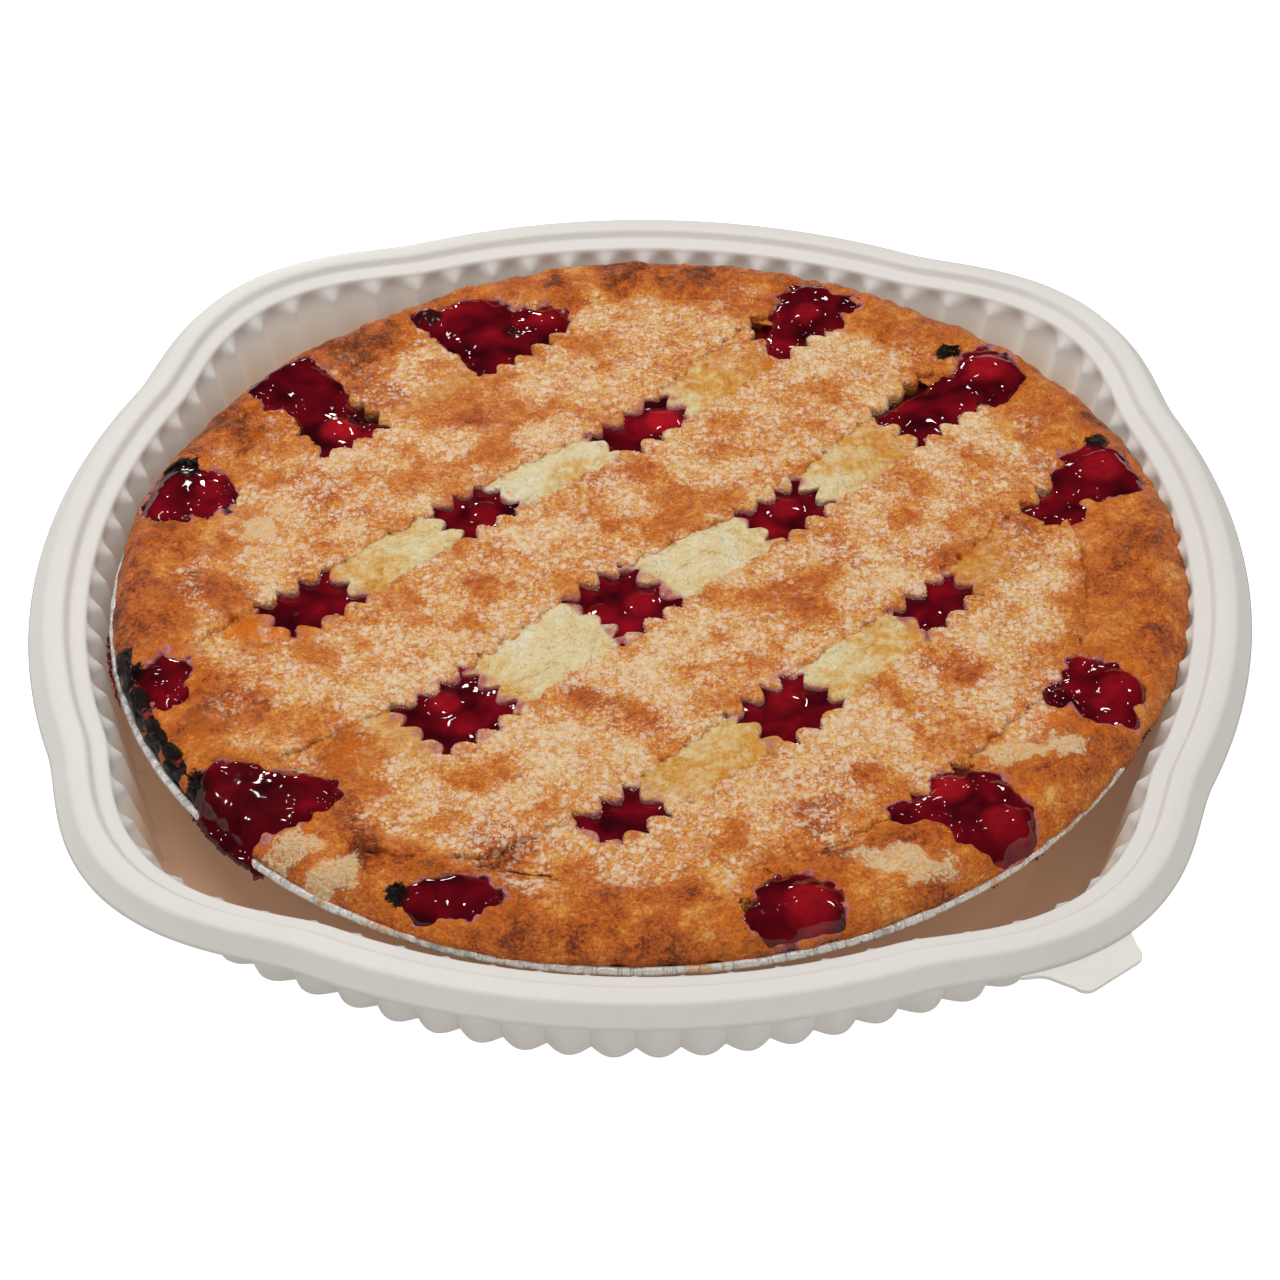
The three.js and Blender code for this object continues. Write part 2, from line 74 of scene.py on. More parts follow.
def srgb(red, green, blue):
    """A colour named by its 0-255 display values, as the linear values of a shader."""
    shares = np.array([red, green, blue]) / 255
    linear = np.where(shares > 0.04045, ((shares + 0.055) / 1.055) ** 2.4, shares / 12.92)
    return tuple(float(value) for value in linear)


# ---------------------------------------------------------------------------------------
# Noise and small numeric helpers, all on arrays of millimetres


TABLE = 256


def ease(low, high, value):
    """0 below low, 1 above high, and a smooth step between them."""
    share = np.clip((value - low) / (high - low), 0, 1)
    return share * share * (3 - 2 * share)


def mix(a, b, share):
    return a + (b - a) * share


def lumps(x, y, size, seed):
    """Smooth random bumps from -1 to 1, each about one size across."""
    table = np.random.default_rng(seed).uniform(-1, 1, (TABLE, TABLE))
    turn = seed * 0.7
    across = (x * np.cos(turn) - y * np.sin(turn)) / size
    along = (x * np.sin(turn) + y * np.cos(turn)) / size
    column, row = np.floor(across).astype(int), np.floor(along).astype(int)
    fx, fy = across - column, along - row
    fx, fy = fx ** 3 * (fx * (fx * 6 - 15) + 10), fy ** 3 * (fy * (fy * 6 - 15) + 10)
    low = mix(table[row % TABLE, column % TABLE], table[row % TABLE, (column + 1) % TABLE], fx)
    high = mix(
        table[(row + 1) % TABLE, column % TABLE],
        table[(row + 1) % TABLE, (column + 1) % TABLE],
        fx,
    )
    return mix(low, high, fy)


def rough(x, y, size, seed, octaves=3):
    """Lumps of several sizes, each half as large and half as high as the one before."""
    return sum(lumps(x, y, size / 2 ** k, seed + k) / 2 ** k for k in range(octaves))


def spread(x, y, spots, wander=0.35, seed=40):
    """The strongest of several spots, with ragged borders."""
    ragged = wander * rough(x, y, 5.0, seed)
    total = np.zeros_like(x)
    for spot in spots:
        far = np.hypot((x - spot[0]) / spot[2], (y - spot[1]) / spot[3]) + ragged
        total = np.maximum(total, (1 - ease(0.4, 1.05, far)) * spot[4])
    return total


# ---------------------------------------------------------------------------------------
# The lattice: u runs along the upper strips and v along the lower ones


LATTICE_ANGLE = np.radians(46.2)
TOOTH_PITCH = 6.5
TOOTH_DEPTH = 2.5
STRIP_END = 109.5
# One end of the third upper strip lies on the edge crust as a tongue: its number, the reach
# and v of its tip, how much it narrows, and the spot that it covers.
TONGUE_STRIP, TONGUE_REACH, TONGUE_MIDDLE, TONGUE_CURVE = 2, 111.0, 28.0, 0.035
TONGUE = ((-52, -88, 26, 26, 1.0),)
UPPER_SEED = 100
LOWER_SEED = 150

# Each gap in the lattice: lowest and highest u, lowest and highest v.
GAPS = {
    "A": (24.0, 47.5, -42.5, -30.5),
    "B": (-25.0, -7.5, -48.0, -34.5),
    "C": (-76.5, -56.0, -50.0, -35.5),
    "D": (28.5, 48.0, 5.0, 18.5),
    "E": (-21.0, -3.5, -2.5, 17.5),
    "F": (-76.5, -55.0, 0.0, 18.5),
    "G": (31.5, 49.5, 53.5, 64.5),
    "H": (-21.0, -1.0, 52.5, 69.0),
    "I": (-69.5, -53.5, 54.0, 65.5),
    "a": (24.0, 50.0, -112.0, -79.0),
    "b": (-26.0, -8.0, -119.0, -81.5),
    "c": (-72.0, -55.0, -105.0, -87.0),
    "d": (-113.0, -99.0, -53.0, -44.0),
    "e": (-127.0, -103.5, -11.0, 11.5),
    "f": (-109.5, -98.0, 45.0, 60.0),
    "g": (-60.0, -46.0, 97.0, 112.0),
    "h": (-16.0, 7.0, 100.5, 124.0),
    "i": (38.0, 55.0, 96.0, 114.0),
    "j": (82.5, 115.0, 47.0, 59.0),
    "k": (80.5, 122.0, -4.0, 15.0),
    "l": (82.5, 114.0, -51.0, -33.0),
}
ROWS = ("cba", "dCBAl", "eFEDk", "fIHGj", "ghi")
COLUMNS = ("def", "cCFIg", "bBEHh", "aADGi", "lkj")
WINDOWS = "ABCDEFGHI"


def to_lattice(x, y):
    c, s = np.cos(LATTICE_ANGLE), np.sin(LATTICE_ANGLE)
    return x * c + y * s, x * s - y * c


def from_lattice(u, v):
    c, s = np.cos(LATTICE_ANGLE), np.sin(LATTICE_ANGLE)
    return u * c + v * s, u * s - v * c


def inside_gap(name, u, v):
    """How far inside a gap's nominal rectangle a place is, below 0 outside it."""
    low_u, high_u, low_v, high_v = GAPS[name]
    return np.minimum.reduce([u - low_u, high_u - u, v - low_v, high_v - v])


def pinking(along, seed):
    """A pinked border: round teeth with sharp notches between them, from -0.5 to 0.5."""
    phase = along + 1.6 * lumps(along, along * 0, 15.0, seed)
    size = 1 + 0.45 * lumps(along, along * 0, 8.0, seed + 1)
    return size * (np.abs(np.cos(np.pi * phase / TOOTH_PITCH)) - 0.5)


def edge(group, along, side, seed, pinked=True):
    """The border of the gaps in one row or column, at places along it.

    side 0 is the border with the lower value, which is the upper border of the strip
    before the gaps, and side 1 is the lower border of the strip after them.
    """
    wide = group in COLUMNS
    middles = [np.mean(GAPS[name][2:] if wide else GAPS[name][:2]) for name in group]
    borders = [GAPS[name][side if wide else 2 + side] for name in group]
    border = np.interp(along, middles, borders)
    if not pinked:
        return border
    towards_gap = 1 if side == 0 else -1
    beside_gap = np.zeros_like(border)
    for name in group:
        start, end = GAPS[name][:2] if not wide else GAPS[name][2:]
        away = np.maximum(start - along, along - end)
        beside_gap = np.maximum(beside_gap, 1 - ease(-1.0, 4.0, away))
    return border + towards_gap * TOOTH_DEPTH * (0.75 + 0.6 * beside_gap) * pinking(along, seed)


# ---------------------------------------------------------------------------------------
# Heights of the pie's layers over the table, at any place


FILLING_EDGE_Z = 29.7
FILLING_DOME = 1.0
FILLING_RADIUS = 108.2
UPPER_RISE = 5.3
LOWER_RISE = 4.5
GEL_RISE = 3.2
POOL_LOWEST = 28.9
CRUST_TOP = 35.4
CRUST_EDGE = 125.2
CRUST_INNER = 101.0
CRUST_WAVE = 0.7
EDGE_DROP = 4.9
INNER_DROP = 0.9
HUMP = 117.0
# Where the crust hangs over the tin, and where it shrank: amount, angle, width in degrees.
OVERHANG = (5.0, 12, 42)
SHRINKAGE = (-3.2, 133, 24)


def filling_level(x, y):
    far = np.hypot(x, y) / FILLING_RADIUS
    return FILLING_EDGE_Z + FILLING_DOME * (1 - far ** 2)


def unevenness(angle):
    return (
        0.5 * np.sin(3 * angle + 0.7)
        + 0.35 * np.sin(7 * angle + 2.1)
        + 0.25 * np.sin(12 * angle + 4.0)
    )


def swell_at(angle, middle, width):
    """1 where an angle is at middle (degrees), fading over width (degrees)."""
    away = (np.degrees(angle) - middle + 180) % 360 - 180
    return np.exp(-((away / width) ** 2))


def crust_outline(angle):
    """The edge crust's outer radius: it hangs over the tin on one side and shrank on another."""
    outline = CRUST_EDGE + CRUST_WAVE * unevenness(angle)
    for amount, middle, width in (OVERHANG, SHRINKAGE):
        outline = outline + amount * swell_at(angle, middle, width)
    return outline


def crust_level(x, y):
    """The edge crust's top without its small lumps."""
    angle = np.arctan2(y, x)
    reach = np.hypot(x, y)
    outer = crust_outline(angle)
    scaled = CRUST_INNER + (reach - CRUST_INNER) * (CRUST_EDGE - CRUST_INNER) / (outer - CRUST_INNER)
    outside = np.clip((scaled - HUMP) / (CRUST_EDGE - HUMP), 0, 1.6)
    inside = np.clip((HUMP - scaled) / (HUMP - CRUST_INNER), 0, 1)
    top = CRUST_TOP + 0.5 * unevenness(angle + 1.3)
    return top - EDGE_DROP * outside ** 2.4 - INNER_DROP * inside ** 2


def dough_relief(x, y):
    """Lumps of the baked strips."""
    return (
        0.38 * lumps(x, y, 16.0, 3)
        + 0.30 * lumps(x, y, 6.5, 4)
        + 0.20 * lumps(x, y, 2.8, 5)
        + 0.10 * lumps(x, y, 1.4, 6)
    )


def crust_relief(x, y):
    """Coarser lumps and creases of the edge crust."""
    creases = np.abs(lumps(x, y, 5.5, 14)) ** 0.6
    return (
        0.75 * lumps(x, y, 9.0, 11)
        + 0.90 * (creases - 0.5)
        + 0.42 * lumps(x, y, 2.6, 12)
        + 0.15 * lumps(x, y, 1.3, 13)
    )


# Each pool of filling at the rim: its swell, then ellipses (x, y, half width, half depth).
POOLS = {
    "a": (
        1.5,
        (-47, 92, 10.5, 12), (-30, 93, 6.7, 9.6), (-43, 80, 5.6, 9), (-59, 94, 4.6, 4),
        (-36, 83, 6, 5.4),
    ),
    "b": (
        1.5,
        (-92, 66, 11, 10.5), (-83, 59, 6.4, 9.9), (-80, 51, 5.4, 7.8), (-76, 45, 7.4, 7.5),
        (-69, 49, 4, 3.6),
    ),
    "c": (
        1.1,
        (-115, 21, 9.5, 10.5), (-107, 22, 6.2, 9.1), (-102, 18, 2.8, 3.7),
    ),
    "d": (
        0.8,
        (-106, -44, 4.1, 7.5), (-108, -50, 4.3, 3.2), (-112, -46, 4.1, 4.8),
    ),
    "e": (
        2.0,
        (-80, -84, 13.7, 10.4), (-87, -80, 8.3, 8.7), (-70, -81, 7, 6.7), (-85, -93, 7.7, 4),
        (-85, -96, 3.7, 2.4),
    ),
    "f": (
        1.1,
        (-35, -111, 9.5, 6.3), (-27, -112, 3.2, 2.4), (-41, -111, 4.8, 4.2),
    ),
    "g": (
        1.9,
        (39, -110, 9, 7.8), (33, -115, 6, 4.4), (44, -113, 5.1, 4.3),
    ),
    "h": (
        2.0,
        (80, -82, 10, 11), (84, -87, 6.9, 6.3), (68, -80, 8.3, 5), (72, -73, 5.7, 4.9),
        (78, -71, 5.3, 3.8),
    ),
    "i": (
        1.5,
        (108, -41, 8.7, 10.2), (103, -34, 4.5, 5.4), (110, -48, 5.6, 3.8), (97, -42, 3.6, 2.9),
    ),
    "j": (
        1.2,
        (109, 38, 7.3, 10.6), (103, 32, 3.9, 10), (99, 25, 6.2, 4.7), (116, 36, 5, 5),
        (113, 44, 5, 5.2),
    ),
    "k": (
        1.4,
        (84, 76, 8.5, 11), (76, 67, 7.5, 10), (68, 61, 7, 8.6), (69, 54, 5.9, 5.5),
        (60, 58, 3.7, 3.2),
    ),
    "l": (
        1.4,
        (38, 105, 6.7, 8.3), (34, 96, 4.6, 8.4), (33, 87, 5.9, 5.9), (42, 97, 6.4, 6),
        (47, 104, 5.7, 3.8),
    ),
}
# Cherries that show: x, y, radius, lift, brightness.
CHERRIES = (
    (3, 55, 6.0, 1.5, 1.0),
    (-77, 47, 6.0, 1.6, 0.9),
    (38, 99, 5.0, 1.2, 0.5),
    (84, 77, 6.5, 1.4, 0.7),
    (111, 39, 7.0, 1.4, 0.6),
    (72, -75, 6.0, 1.5, 0.7),
    (-42, -50, 4.5, 1.0, 0.6),
    (35, -46, 5.5, 0.9, 0.4),
    (1, -14, 5.0, 0.9, 0.5),
    (-8, -18, 4.5, 0.8, 0.3),
    (34, 22, 5.0, 0.9, 0.4),
    (112, -40, 6.5, 1.2, 0.4),
    (42, -112, 7.5, 1.2, 0.6),
    (-59, 96, 7.0, 1.2, 0.3),
    (-29, 96, 5.5, 1.2, 0.4),
    (-106, 22, 4.5, 0.9, 0.4),
    (-39, 18, 4.5, 0.8, 0.3),
    (84, -86, 6.5, 1.2, 0.5),
)


# How far short of the crust's outline the filling stops, and where it ran over it: amount,
# angle and width in degrees.
FILLING_STOPS = 0.6
RUNOVERS = ((3.4, -133, 9), (0.9, -45, 9))


def inside_edge(x, y):
    """How far inside the filling's outermost line a place is."""
    angle = np.arctan2(y, x)
    margin = -FILLING_STOPS
    for amount, middle, width in RUNOVERS:
        margin = margin + amount * swell_at(angle, middle, width)
    return crust_outline(angle) + margin - np.hypot(x, y)


def pool_depth(name, x, y):
    """How far inside a pool's ragged outline a place is, below 0 outside it."""
    sharpness = 0.9
    total = np.zeros_like(x)
    for cx, cy, rx, ry in POOLS[name][1:]:
        inside = (1 - np.hypot((x - cx) / rx, (y - cy) / ry)) * min(rx, ry)
        total = total + np.exp(sharpness * np.clip(inside, -30, 30))
    ragged = 1.0 * lumps(x, y, 4.6, 21) + 0.8 * lumps(x, y, 2.1, 22)
    return np.minimum(np.log(total + 1e-12) / sharpness + ragged, inside_edge(x, y))


def all_pools(x, y):
    """The depth inside the nearest pool, and that pool's swell."""
    depth = np.full_like(x, -99.0)
    swell = np.zeros_like(x)
    for name in POOLS:
        here = pool_depth(name, x, y)
        nearer = here > depth
        depth = np.where(nearer, here, depth)
        swell = np.where(nearer, POOLS[name][0], swell)
    return depth, swell


def pool_dip(x, y):
    """How far pastry sinks under the pools."""
    depth, _ = all_pools(x, y)
    return 2.4 * ease(-1.2, 2.4, depth)


def hollows(x, y):
    """1 in the small hollows that the upper strips' notches leave over the lower strips."""
    u, v = to_lattice(x, y)
    deepest = np.zeros_like(x)
    for number in range(len(ROWS) - 1):
        seed = UPPER_SEED + 4 * number
        for group, side, own in ((ROWS[number], 1, seed), (ROWS[number + 1], 0, seed + 2)):
            away = np.abs(v - edge(group, u, side, own))
            notch = ease(0.12, 0.45, -pinking(u, own))
            deepest = np.maximum(deepest, (1 - ease(0.4, 1.9, away)) * notch)
    return deepest


def upper_level(x, y):
    far = np.hypot(x, y)
    level = filling_level(x, y) + UPPER_RISE + dough_relief(x, y)
    rim = crust_level(x, y) - 1.0 + 1.9 * spread(x, y, TONGUE, 0.1)
    return mix(level, rim, ease(103.0, 109.5, far + 1.5 * lumps(x, y, 7.0, 31)))


def lower_level(x, y):
    u, v = to_lattice(x, y)
    far = np.hypot(x, y)
    swell = np.zeros_like(x)
    for row in ROWS:
        low, high = edge(row, u, 0, 0, False), edge(row, u, 1, 0, False)
        share = (v - (low + high) / 2) / ((high - low) / 2 + 1.5)
        swell = np.maximum(swell, 1 - share ** 2)
    level = filling_level(x, y) + LOWER_RISE + 0.5 * np.clip(swell, 0, 1) + dough_relief(x, y)
    level = level + 0.40 * lumps(x, y, 3.6, 7) + 0.20 * lumps(x, y, 2.0, 8)
    rim = crust_level(x, y) - 0.9 + 0.5 * dough_relief(x, y)
    return mix(level, rim, ease(88.0, 107.0, far)) - pool_dip(x, y) - 0.8 * hollows(x, y)


def cherry_lift(x, y):
    """The bumps of the cherries under the gel, and how far their red shows."""
    lift, red = np.zeros_like(x), np.zeros_like(x)
    for cx, cy, radius, height, bright in CHERRIES:
        far = np.hypot(x - cx, y - cy) / radius
        lift = np.maximum(lift, height * np.clip(1 - far ** 2, 0, 1))
        red = np.maximum(red, bright * (1 - ease(0.45, 1.0, far)))
    return lift, red


def window_level(x, y, name):
    """The gel in one of the lattice's windows, drawn up along the pastry."""
    inside = inside_gap(name, *to_lattice(x, y))
    lift, _ = cherry_lift(x, y)
    at_border = 0.5 + 1.6 * np.exp(-np.clip(inside, 0, 9) / 2.0)
    small = 0.13 * lumps(x, y, 3.0, 52) + 0.06 * lumps(x, y, 1.6, 53)
    ripple = 0.35 * lumps(x, y, 7.0, 51) + at_border * small
    drawn_up = 0.7 * np.exp(-np.clip(inside + 0.8, 0, 9) / 1.1)
    sunk = 0.7 * np.clip(-1.8 - inside, 0, 9)
    return filling_level(x, y) + GEL_RISE + ripple + 0.9 * lift + drawn_up - sunk


def pool_level(x, y):
    """The swollen gel of the rim pools, which dives under the crust around them."""
    depth, swell = all_pools(x, y)
    far = np.hypot(x, y)
    rest = mix(filling_level(x, y) + 3.3, crust_level(x, y) - 0.7, ease(84.0, 108.0, far))
    rest = np.maximum(rest, POOL_LOWEST)
    lift, _ = cherry_lift(x, y)
    at_border = 0.5 + 2.0 * np.exp(-np.clip(depth, 0, 99) / 2.2)
    small = 0.22 * lumps(x, y, 2.8, 62) + 0.11 * lumps(x, y, 1.6, 63)
    ripple = 0.4 * lumps(x, y, 6.0, 61) + at_border * small
    rounded = swell * (1 - np.exp(-np.clip(depth, 0, 99) / 2.2))
    return rest + rounded + 1.3 * np.clip(depth, -4, 0) + (ripple + lift) * ease(-0.5, 2.0, depth)


# ---------------------------------------------------------------------------------------
# Where the pastry is sugared, pale, browned, stained, soaked or burnt, and where shade is painted in
# notch hollows


# x, y, half width, half depth, strength
BROWNED = (
    (-114, -18, 14.0, 12.0, 0.20),
    (-96, -16, 10.0, 9.0, 0.16),
    (-6, 115, 24.0, 8.0, 0.25),
    (-84, 84, 24.0, 16.0, 0.26),
    (-104, 52, 12.0, 16.0, 0.20),
    (-61, -88, 5.0, 9.0, 0.25),
    (-54, -99, 8.0, 4.0, 0.22),
    (-44, 52, 7.0, 6.0, 0.20),
    (-79, 24, 9.0, 8.0, 0.20),
    (-68, 63, 10.0, 7.0, 0.30),
    (-8, 30, 10.0, 5.0, 0.14),
    (-40, -7, 9.0, 7.0, 0.14),
    (45, 6, 9.0, 6.0, 0.20),
    (38, -11, 12.0, 7.0, 0.16),
    (-10, -47, 9.0, 7.0, 0.20),
    (5, -55, 9.0, 7.0, 0.18),
    (68, 5, 8.0, 6.0, 0.18),
    (43, -87, 8.0, 12.0, 0.30),
    (73, -33, 10.0, 7.0, 0.20),
    (-28, -96, 9.0, 7.0, 0.34),
    (-63, -69, 7.0, 8.0, 0.30),
    (-93, -53, 12.0, 9.0, 0.32),
    (12, 71, 12.0, 8.0, 0.22),
    (91, 17, 9.0, 6.0, 0.22),
    (46, -72, 11.0, 8.0, 0.16),
    (-70, 14, 9.0, 6.0, 0.14),
)
FROSTED = (
    (-24, 74, 14.0, 9.0, 1.0),
    (-52, 38, 12.0, 8.0, 1.0),
    (-52, -30, 14.0, 8.0, 1.0),
    (-19, 11, 15.0, 9.0, 1.0),
    (34, 34, 14.0, 9.0, 0.8),
    (35, 57, 12.0, 8.0, 0.8),
    (-20, -64, 12.0, 9.0, 1.0),
    (-38, -81, 10.0, 8.0, 0.9),
    (12, -33, 14.0, 8.0, 1.0),
    (85, -23, 11.0, 9.0, 0.4),
    (58, -56, 10.0, 8.0, 0.8),
    (17, -88, 12.0, 8.0, 0.6),
    (82, 51, 9.0, 7.0, 0.9),
    (14, -1, 12.0, 7.0, 0.7),
)
FLAKED = (
    (-93, 8, 10.0, 8.0, 1.0),
    (-62, -104, 11.0, 6.0, 0.9),
    (-70, -98, 9.0, 6.0, 0.8),
    (62, -97, 13.0, 6.0, 0.9),
    (86, -61, 9.0, 6.0, 0.8),
    (97, -60, 10.0, 6.0, 0.9),
)
BURNT = (
    (-60, 94, 5.0, 4.0, 1.0),
    (-38, 91, 2.5, 4.0, 0.7),
    (-114, 31, 6.0, 5.0, 1.0),
    (-119, -38, 4.2, 6.0, 1.0),
    (-116, -46, 5.5, 6.5, 1.0),
    (-113, -55, 4.2, 6.5, 1.0),
    (-108, -63, 4.2, 6.0, 1.0),
    (-102, -71, 4.2, 6.0, 1.0),
    (-95, -79, 4.5, 5.0, 0.9),
    (-80, -84, 17.0, 13.0, 0.3),
    (-47, -110, 4.0, 4.0, 1.0),
    (74, 85, 4.5, 4.0, 0.9),
    (111, 50, 5.0, 4.0, 0.9),
    (29, -112, 3.0, 2.5, 0.6),
)
SOAKED = (
    (-80, -27, 8.0, 6.0, 0.9),
    (-88, -28, 8.0, 5.0, 1.0),
    (-62, -69, 7.0, 7.0, 0.7),
    (-93, -58, 9.0, 9.0, 0.5),
    (93, -49, 8.0, 6.0, 0.8),
    (29, 80, 5.0, 4.0, 0.8),
)


def pastry_fields(x, y, kind):
    """The baked look at each place: attributes from 0 to 1 that the material reads."""
    far = np.hypot(x, y)
    depth, _ = all_pools(x, y)
    patches = rough(x, y, 9.0, 71, 4)
    lower = kind == "lower"
    rim = ease(99.0, 114.0, far + 3.0 * lumps(x, y, 9.0, 72))
    frosted = spread(x, y, FROSTED, 0.5, 44)
    bake = 0.50 + 0.14 * patches - 0.14 * frosted
    bake = bake + (0.22 + 0.12 * rough(x, y, 6.0, 74)) * rim
    bake = bake + 0.9 * spread(x, y, BROWNED, 0.5)
    reached = 1 - 0.96 * ease(99.0, 113.0, far + 7.0 * lumps(x, y, 11.0, 73))
    sugar = np.clip(0.38 - 0.35 * patches + 0.40 * frosted, 0, 1) * reached
    pale = np.zeros_like(x)
    if lower:
        hollow = hollows(x, y)
        pale = 1 - ease(70.0, 92.0, far + 4 * lumps(x, y, 7.0, 77))
        # In the notch hollows the lower strips are baked darker: painted shade.
        yellowed_and_shaded = 0.25 + 0.10 * patches + 0.32 * ease(45.0, 78.0, far) + 0.25 * hollow
        yellowed_and_shaded = yellowed_and_shaded + 0.8 * spread(x, y, BROWNED, 0.5)
        bake = mix(bake, yellowed_and_shaded, pale)
        sugar = sugar * (1 - 0.7 * pale)
    ragged = 0.8 * lumps(x, y, 2.5, 75) + 0.5 * lumps(x, y, 1.2, 76)
    stain_and_shade = ease(-1.2, 1.4, depth + ragged) if kind == "crust" else np.zeros_like(x)
    if lower:
        # In the notch hollows the lower strips take a little of the stain colour: painted shade.
        stain_and_shade = 0.16 * hollow
    soak = ease(-6.0, -0.5, depth + 2.5 * ragged) * rim
    soak = np.maximum(soak * 0.5, spread(x, y, SOAKED))
    named = {
        "bake": bake, "sugar": sugar, "pale": pale, "stain_and_shade": stain_and_shade, "soak": soak,
        "burn": spread(x, y, BURNT), "flake": spread(x, y, FLAKED),
    }
    return {name: np.clip(values, 0, 1) for name, values in named.items()}


def seeped(x, y, z):
    """How far filling has seeped into a strip: its sides, up to a little over the gel."""
    u, v = to_lattice(x, y)
    wet = np.zeros_like(x)
    ragged = 0.45 * lumps(x, y, 2.2, 78) + 0.2 * lumps(x, y, 1.0, 79)
    for name in WINDOWS:
        inside = inside_gap(name, u, v)
        above = z - filling_level(x, y) - GEL_RISE + ragged
        wet = np.maximum(wet, 0.75 * ease(-3.6, -1.4, inside) * (1 - ease(0.2, 2.6, above)))
    depth, _ = all_pools(x, y)
    above = z - pool_level(x, y) + ragged
    return np.maximum(wet, ease(-1.6, 0.0, depth) * (1 - ease(-0.1, 0.9, above)))


# ---------------------------------------------------------------------------------------
# Meshes from arrays


def hold(mesh, name, values):
    """Keeps a value for each point of a mesh, as an attribute."""
    attribute = mesh.attributes.new(name, "FLOAT", "POINT")
    attribute.data.foreach_set("value", np.asarray(values, np.float32).ravel())


def add_object(name, data):
    made = bpy.data.objects.new(name, data)
    bpy.context.scene.collection.objects.link(made)
    return made


def add_piece(name, points, polygons, material, fields=None):
    """A mesh object at the origin, smooth shaded, with its places given in millimetres."""
    mesh = bpy.data.meshes.new(name)
    mesh.from_pydata((points * MM).tolist(), [], polygons)
    for field, values in (fields or {}).items():
        hold(mesh, field, values)
    mesh.shade_smooth()
    mesh.materials.append(material)
    return add_object(name, mesh)


def stand_for(piece, slot, *nodes):
    """The piece rides on the pie's body and stands for those CAD nodes."""
    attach(piece, BODY)
    if nodes:
        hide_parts(*nodes)


def ring_faces(stations, around, closed_along):
    """Quads of a tube with a ring of points at each station, capped unless closed_along."""
    last = stations if closed_along else stations - 1
    row, column = np.meshgrid(np.arange(last), np.arange(around), indexing="ij")
    next_row, next_column = (row + 1) % stations, (column + 1) % around
    corners = (
        row * around + column,
        row * around + next_column,
        next_row * around + next_column,
        next_row * around + column,
    )
    faces = np.stack([corner.ravel() for corner in corners], -1).tolist()
    if not closed_along:
        faces.append(list(range(around))[::-1])
        faces.append([(stations - 1) * around + k for k in range(around)])
    return faces


def height_patch(name, step, low, high, covered, level, bottom, material, fields_at):
    """A closed slab on a square grid, over the cells where covered(x, y) is true."""
    x, y = np.meshgrid(np.arange(low[0], high[0], step), np.arange(low[1], high[1], step))
    cells = covered(x[:-1, :-1] + step / 2, y[:-1, :-1] + step / 2)
    used = np.zeros(x.shape, bool)
    for down in (0, 1):
        for across in (0, 1):
            used[down:x.shape[0] - 1 + down, across:x.shape[1] - 1 + across] |= cells
    number = np.full(x.shape, -1)
    number[used] = np.arange(used.sum())
    px, py = x[used], y[used]
    top = np.stack([px, py, level(px, py)], -1)
    base = np.stack([px, py, np.full_like(px, bottom)], -1)
    count = len(px)
    row, column = np.nonzero(cells)
    quad = np.stack([
        number[row, column], number[row, column + 1],
        number[row + 1, column + 1], number[row + 1, column],
    ], -1)
    faces = [quad, quad[:, ::-1] + count]
    padded = np.pad(cells, 1)
    sides = ((-1, 0, 0, 1), (0, 1, 1, 2), (1, 0, 2, 3), (0, -1, 3, 0))
    for down, across, start, end in sides:
        open_side = ~padded[row + 1 + down, column + 1 + across]
        a, b = quad[open_side, start], quad[open_side, end]
        faces.append(np.stack([b, a, a + count, b + count], -1))
    fields = fields_at(px, py)
    fields = {key: np.concatenate([value, value]) for key, value in fields.items()}
    points = np.concatenate([top, base])
    return add_piece(name, points, np.concatenate(faces).tolist(), material, fields)


# ---------------------------------------------------------------------------------------
# Node trees


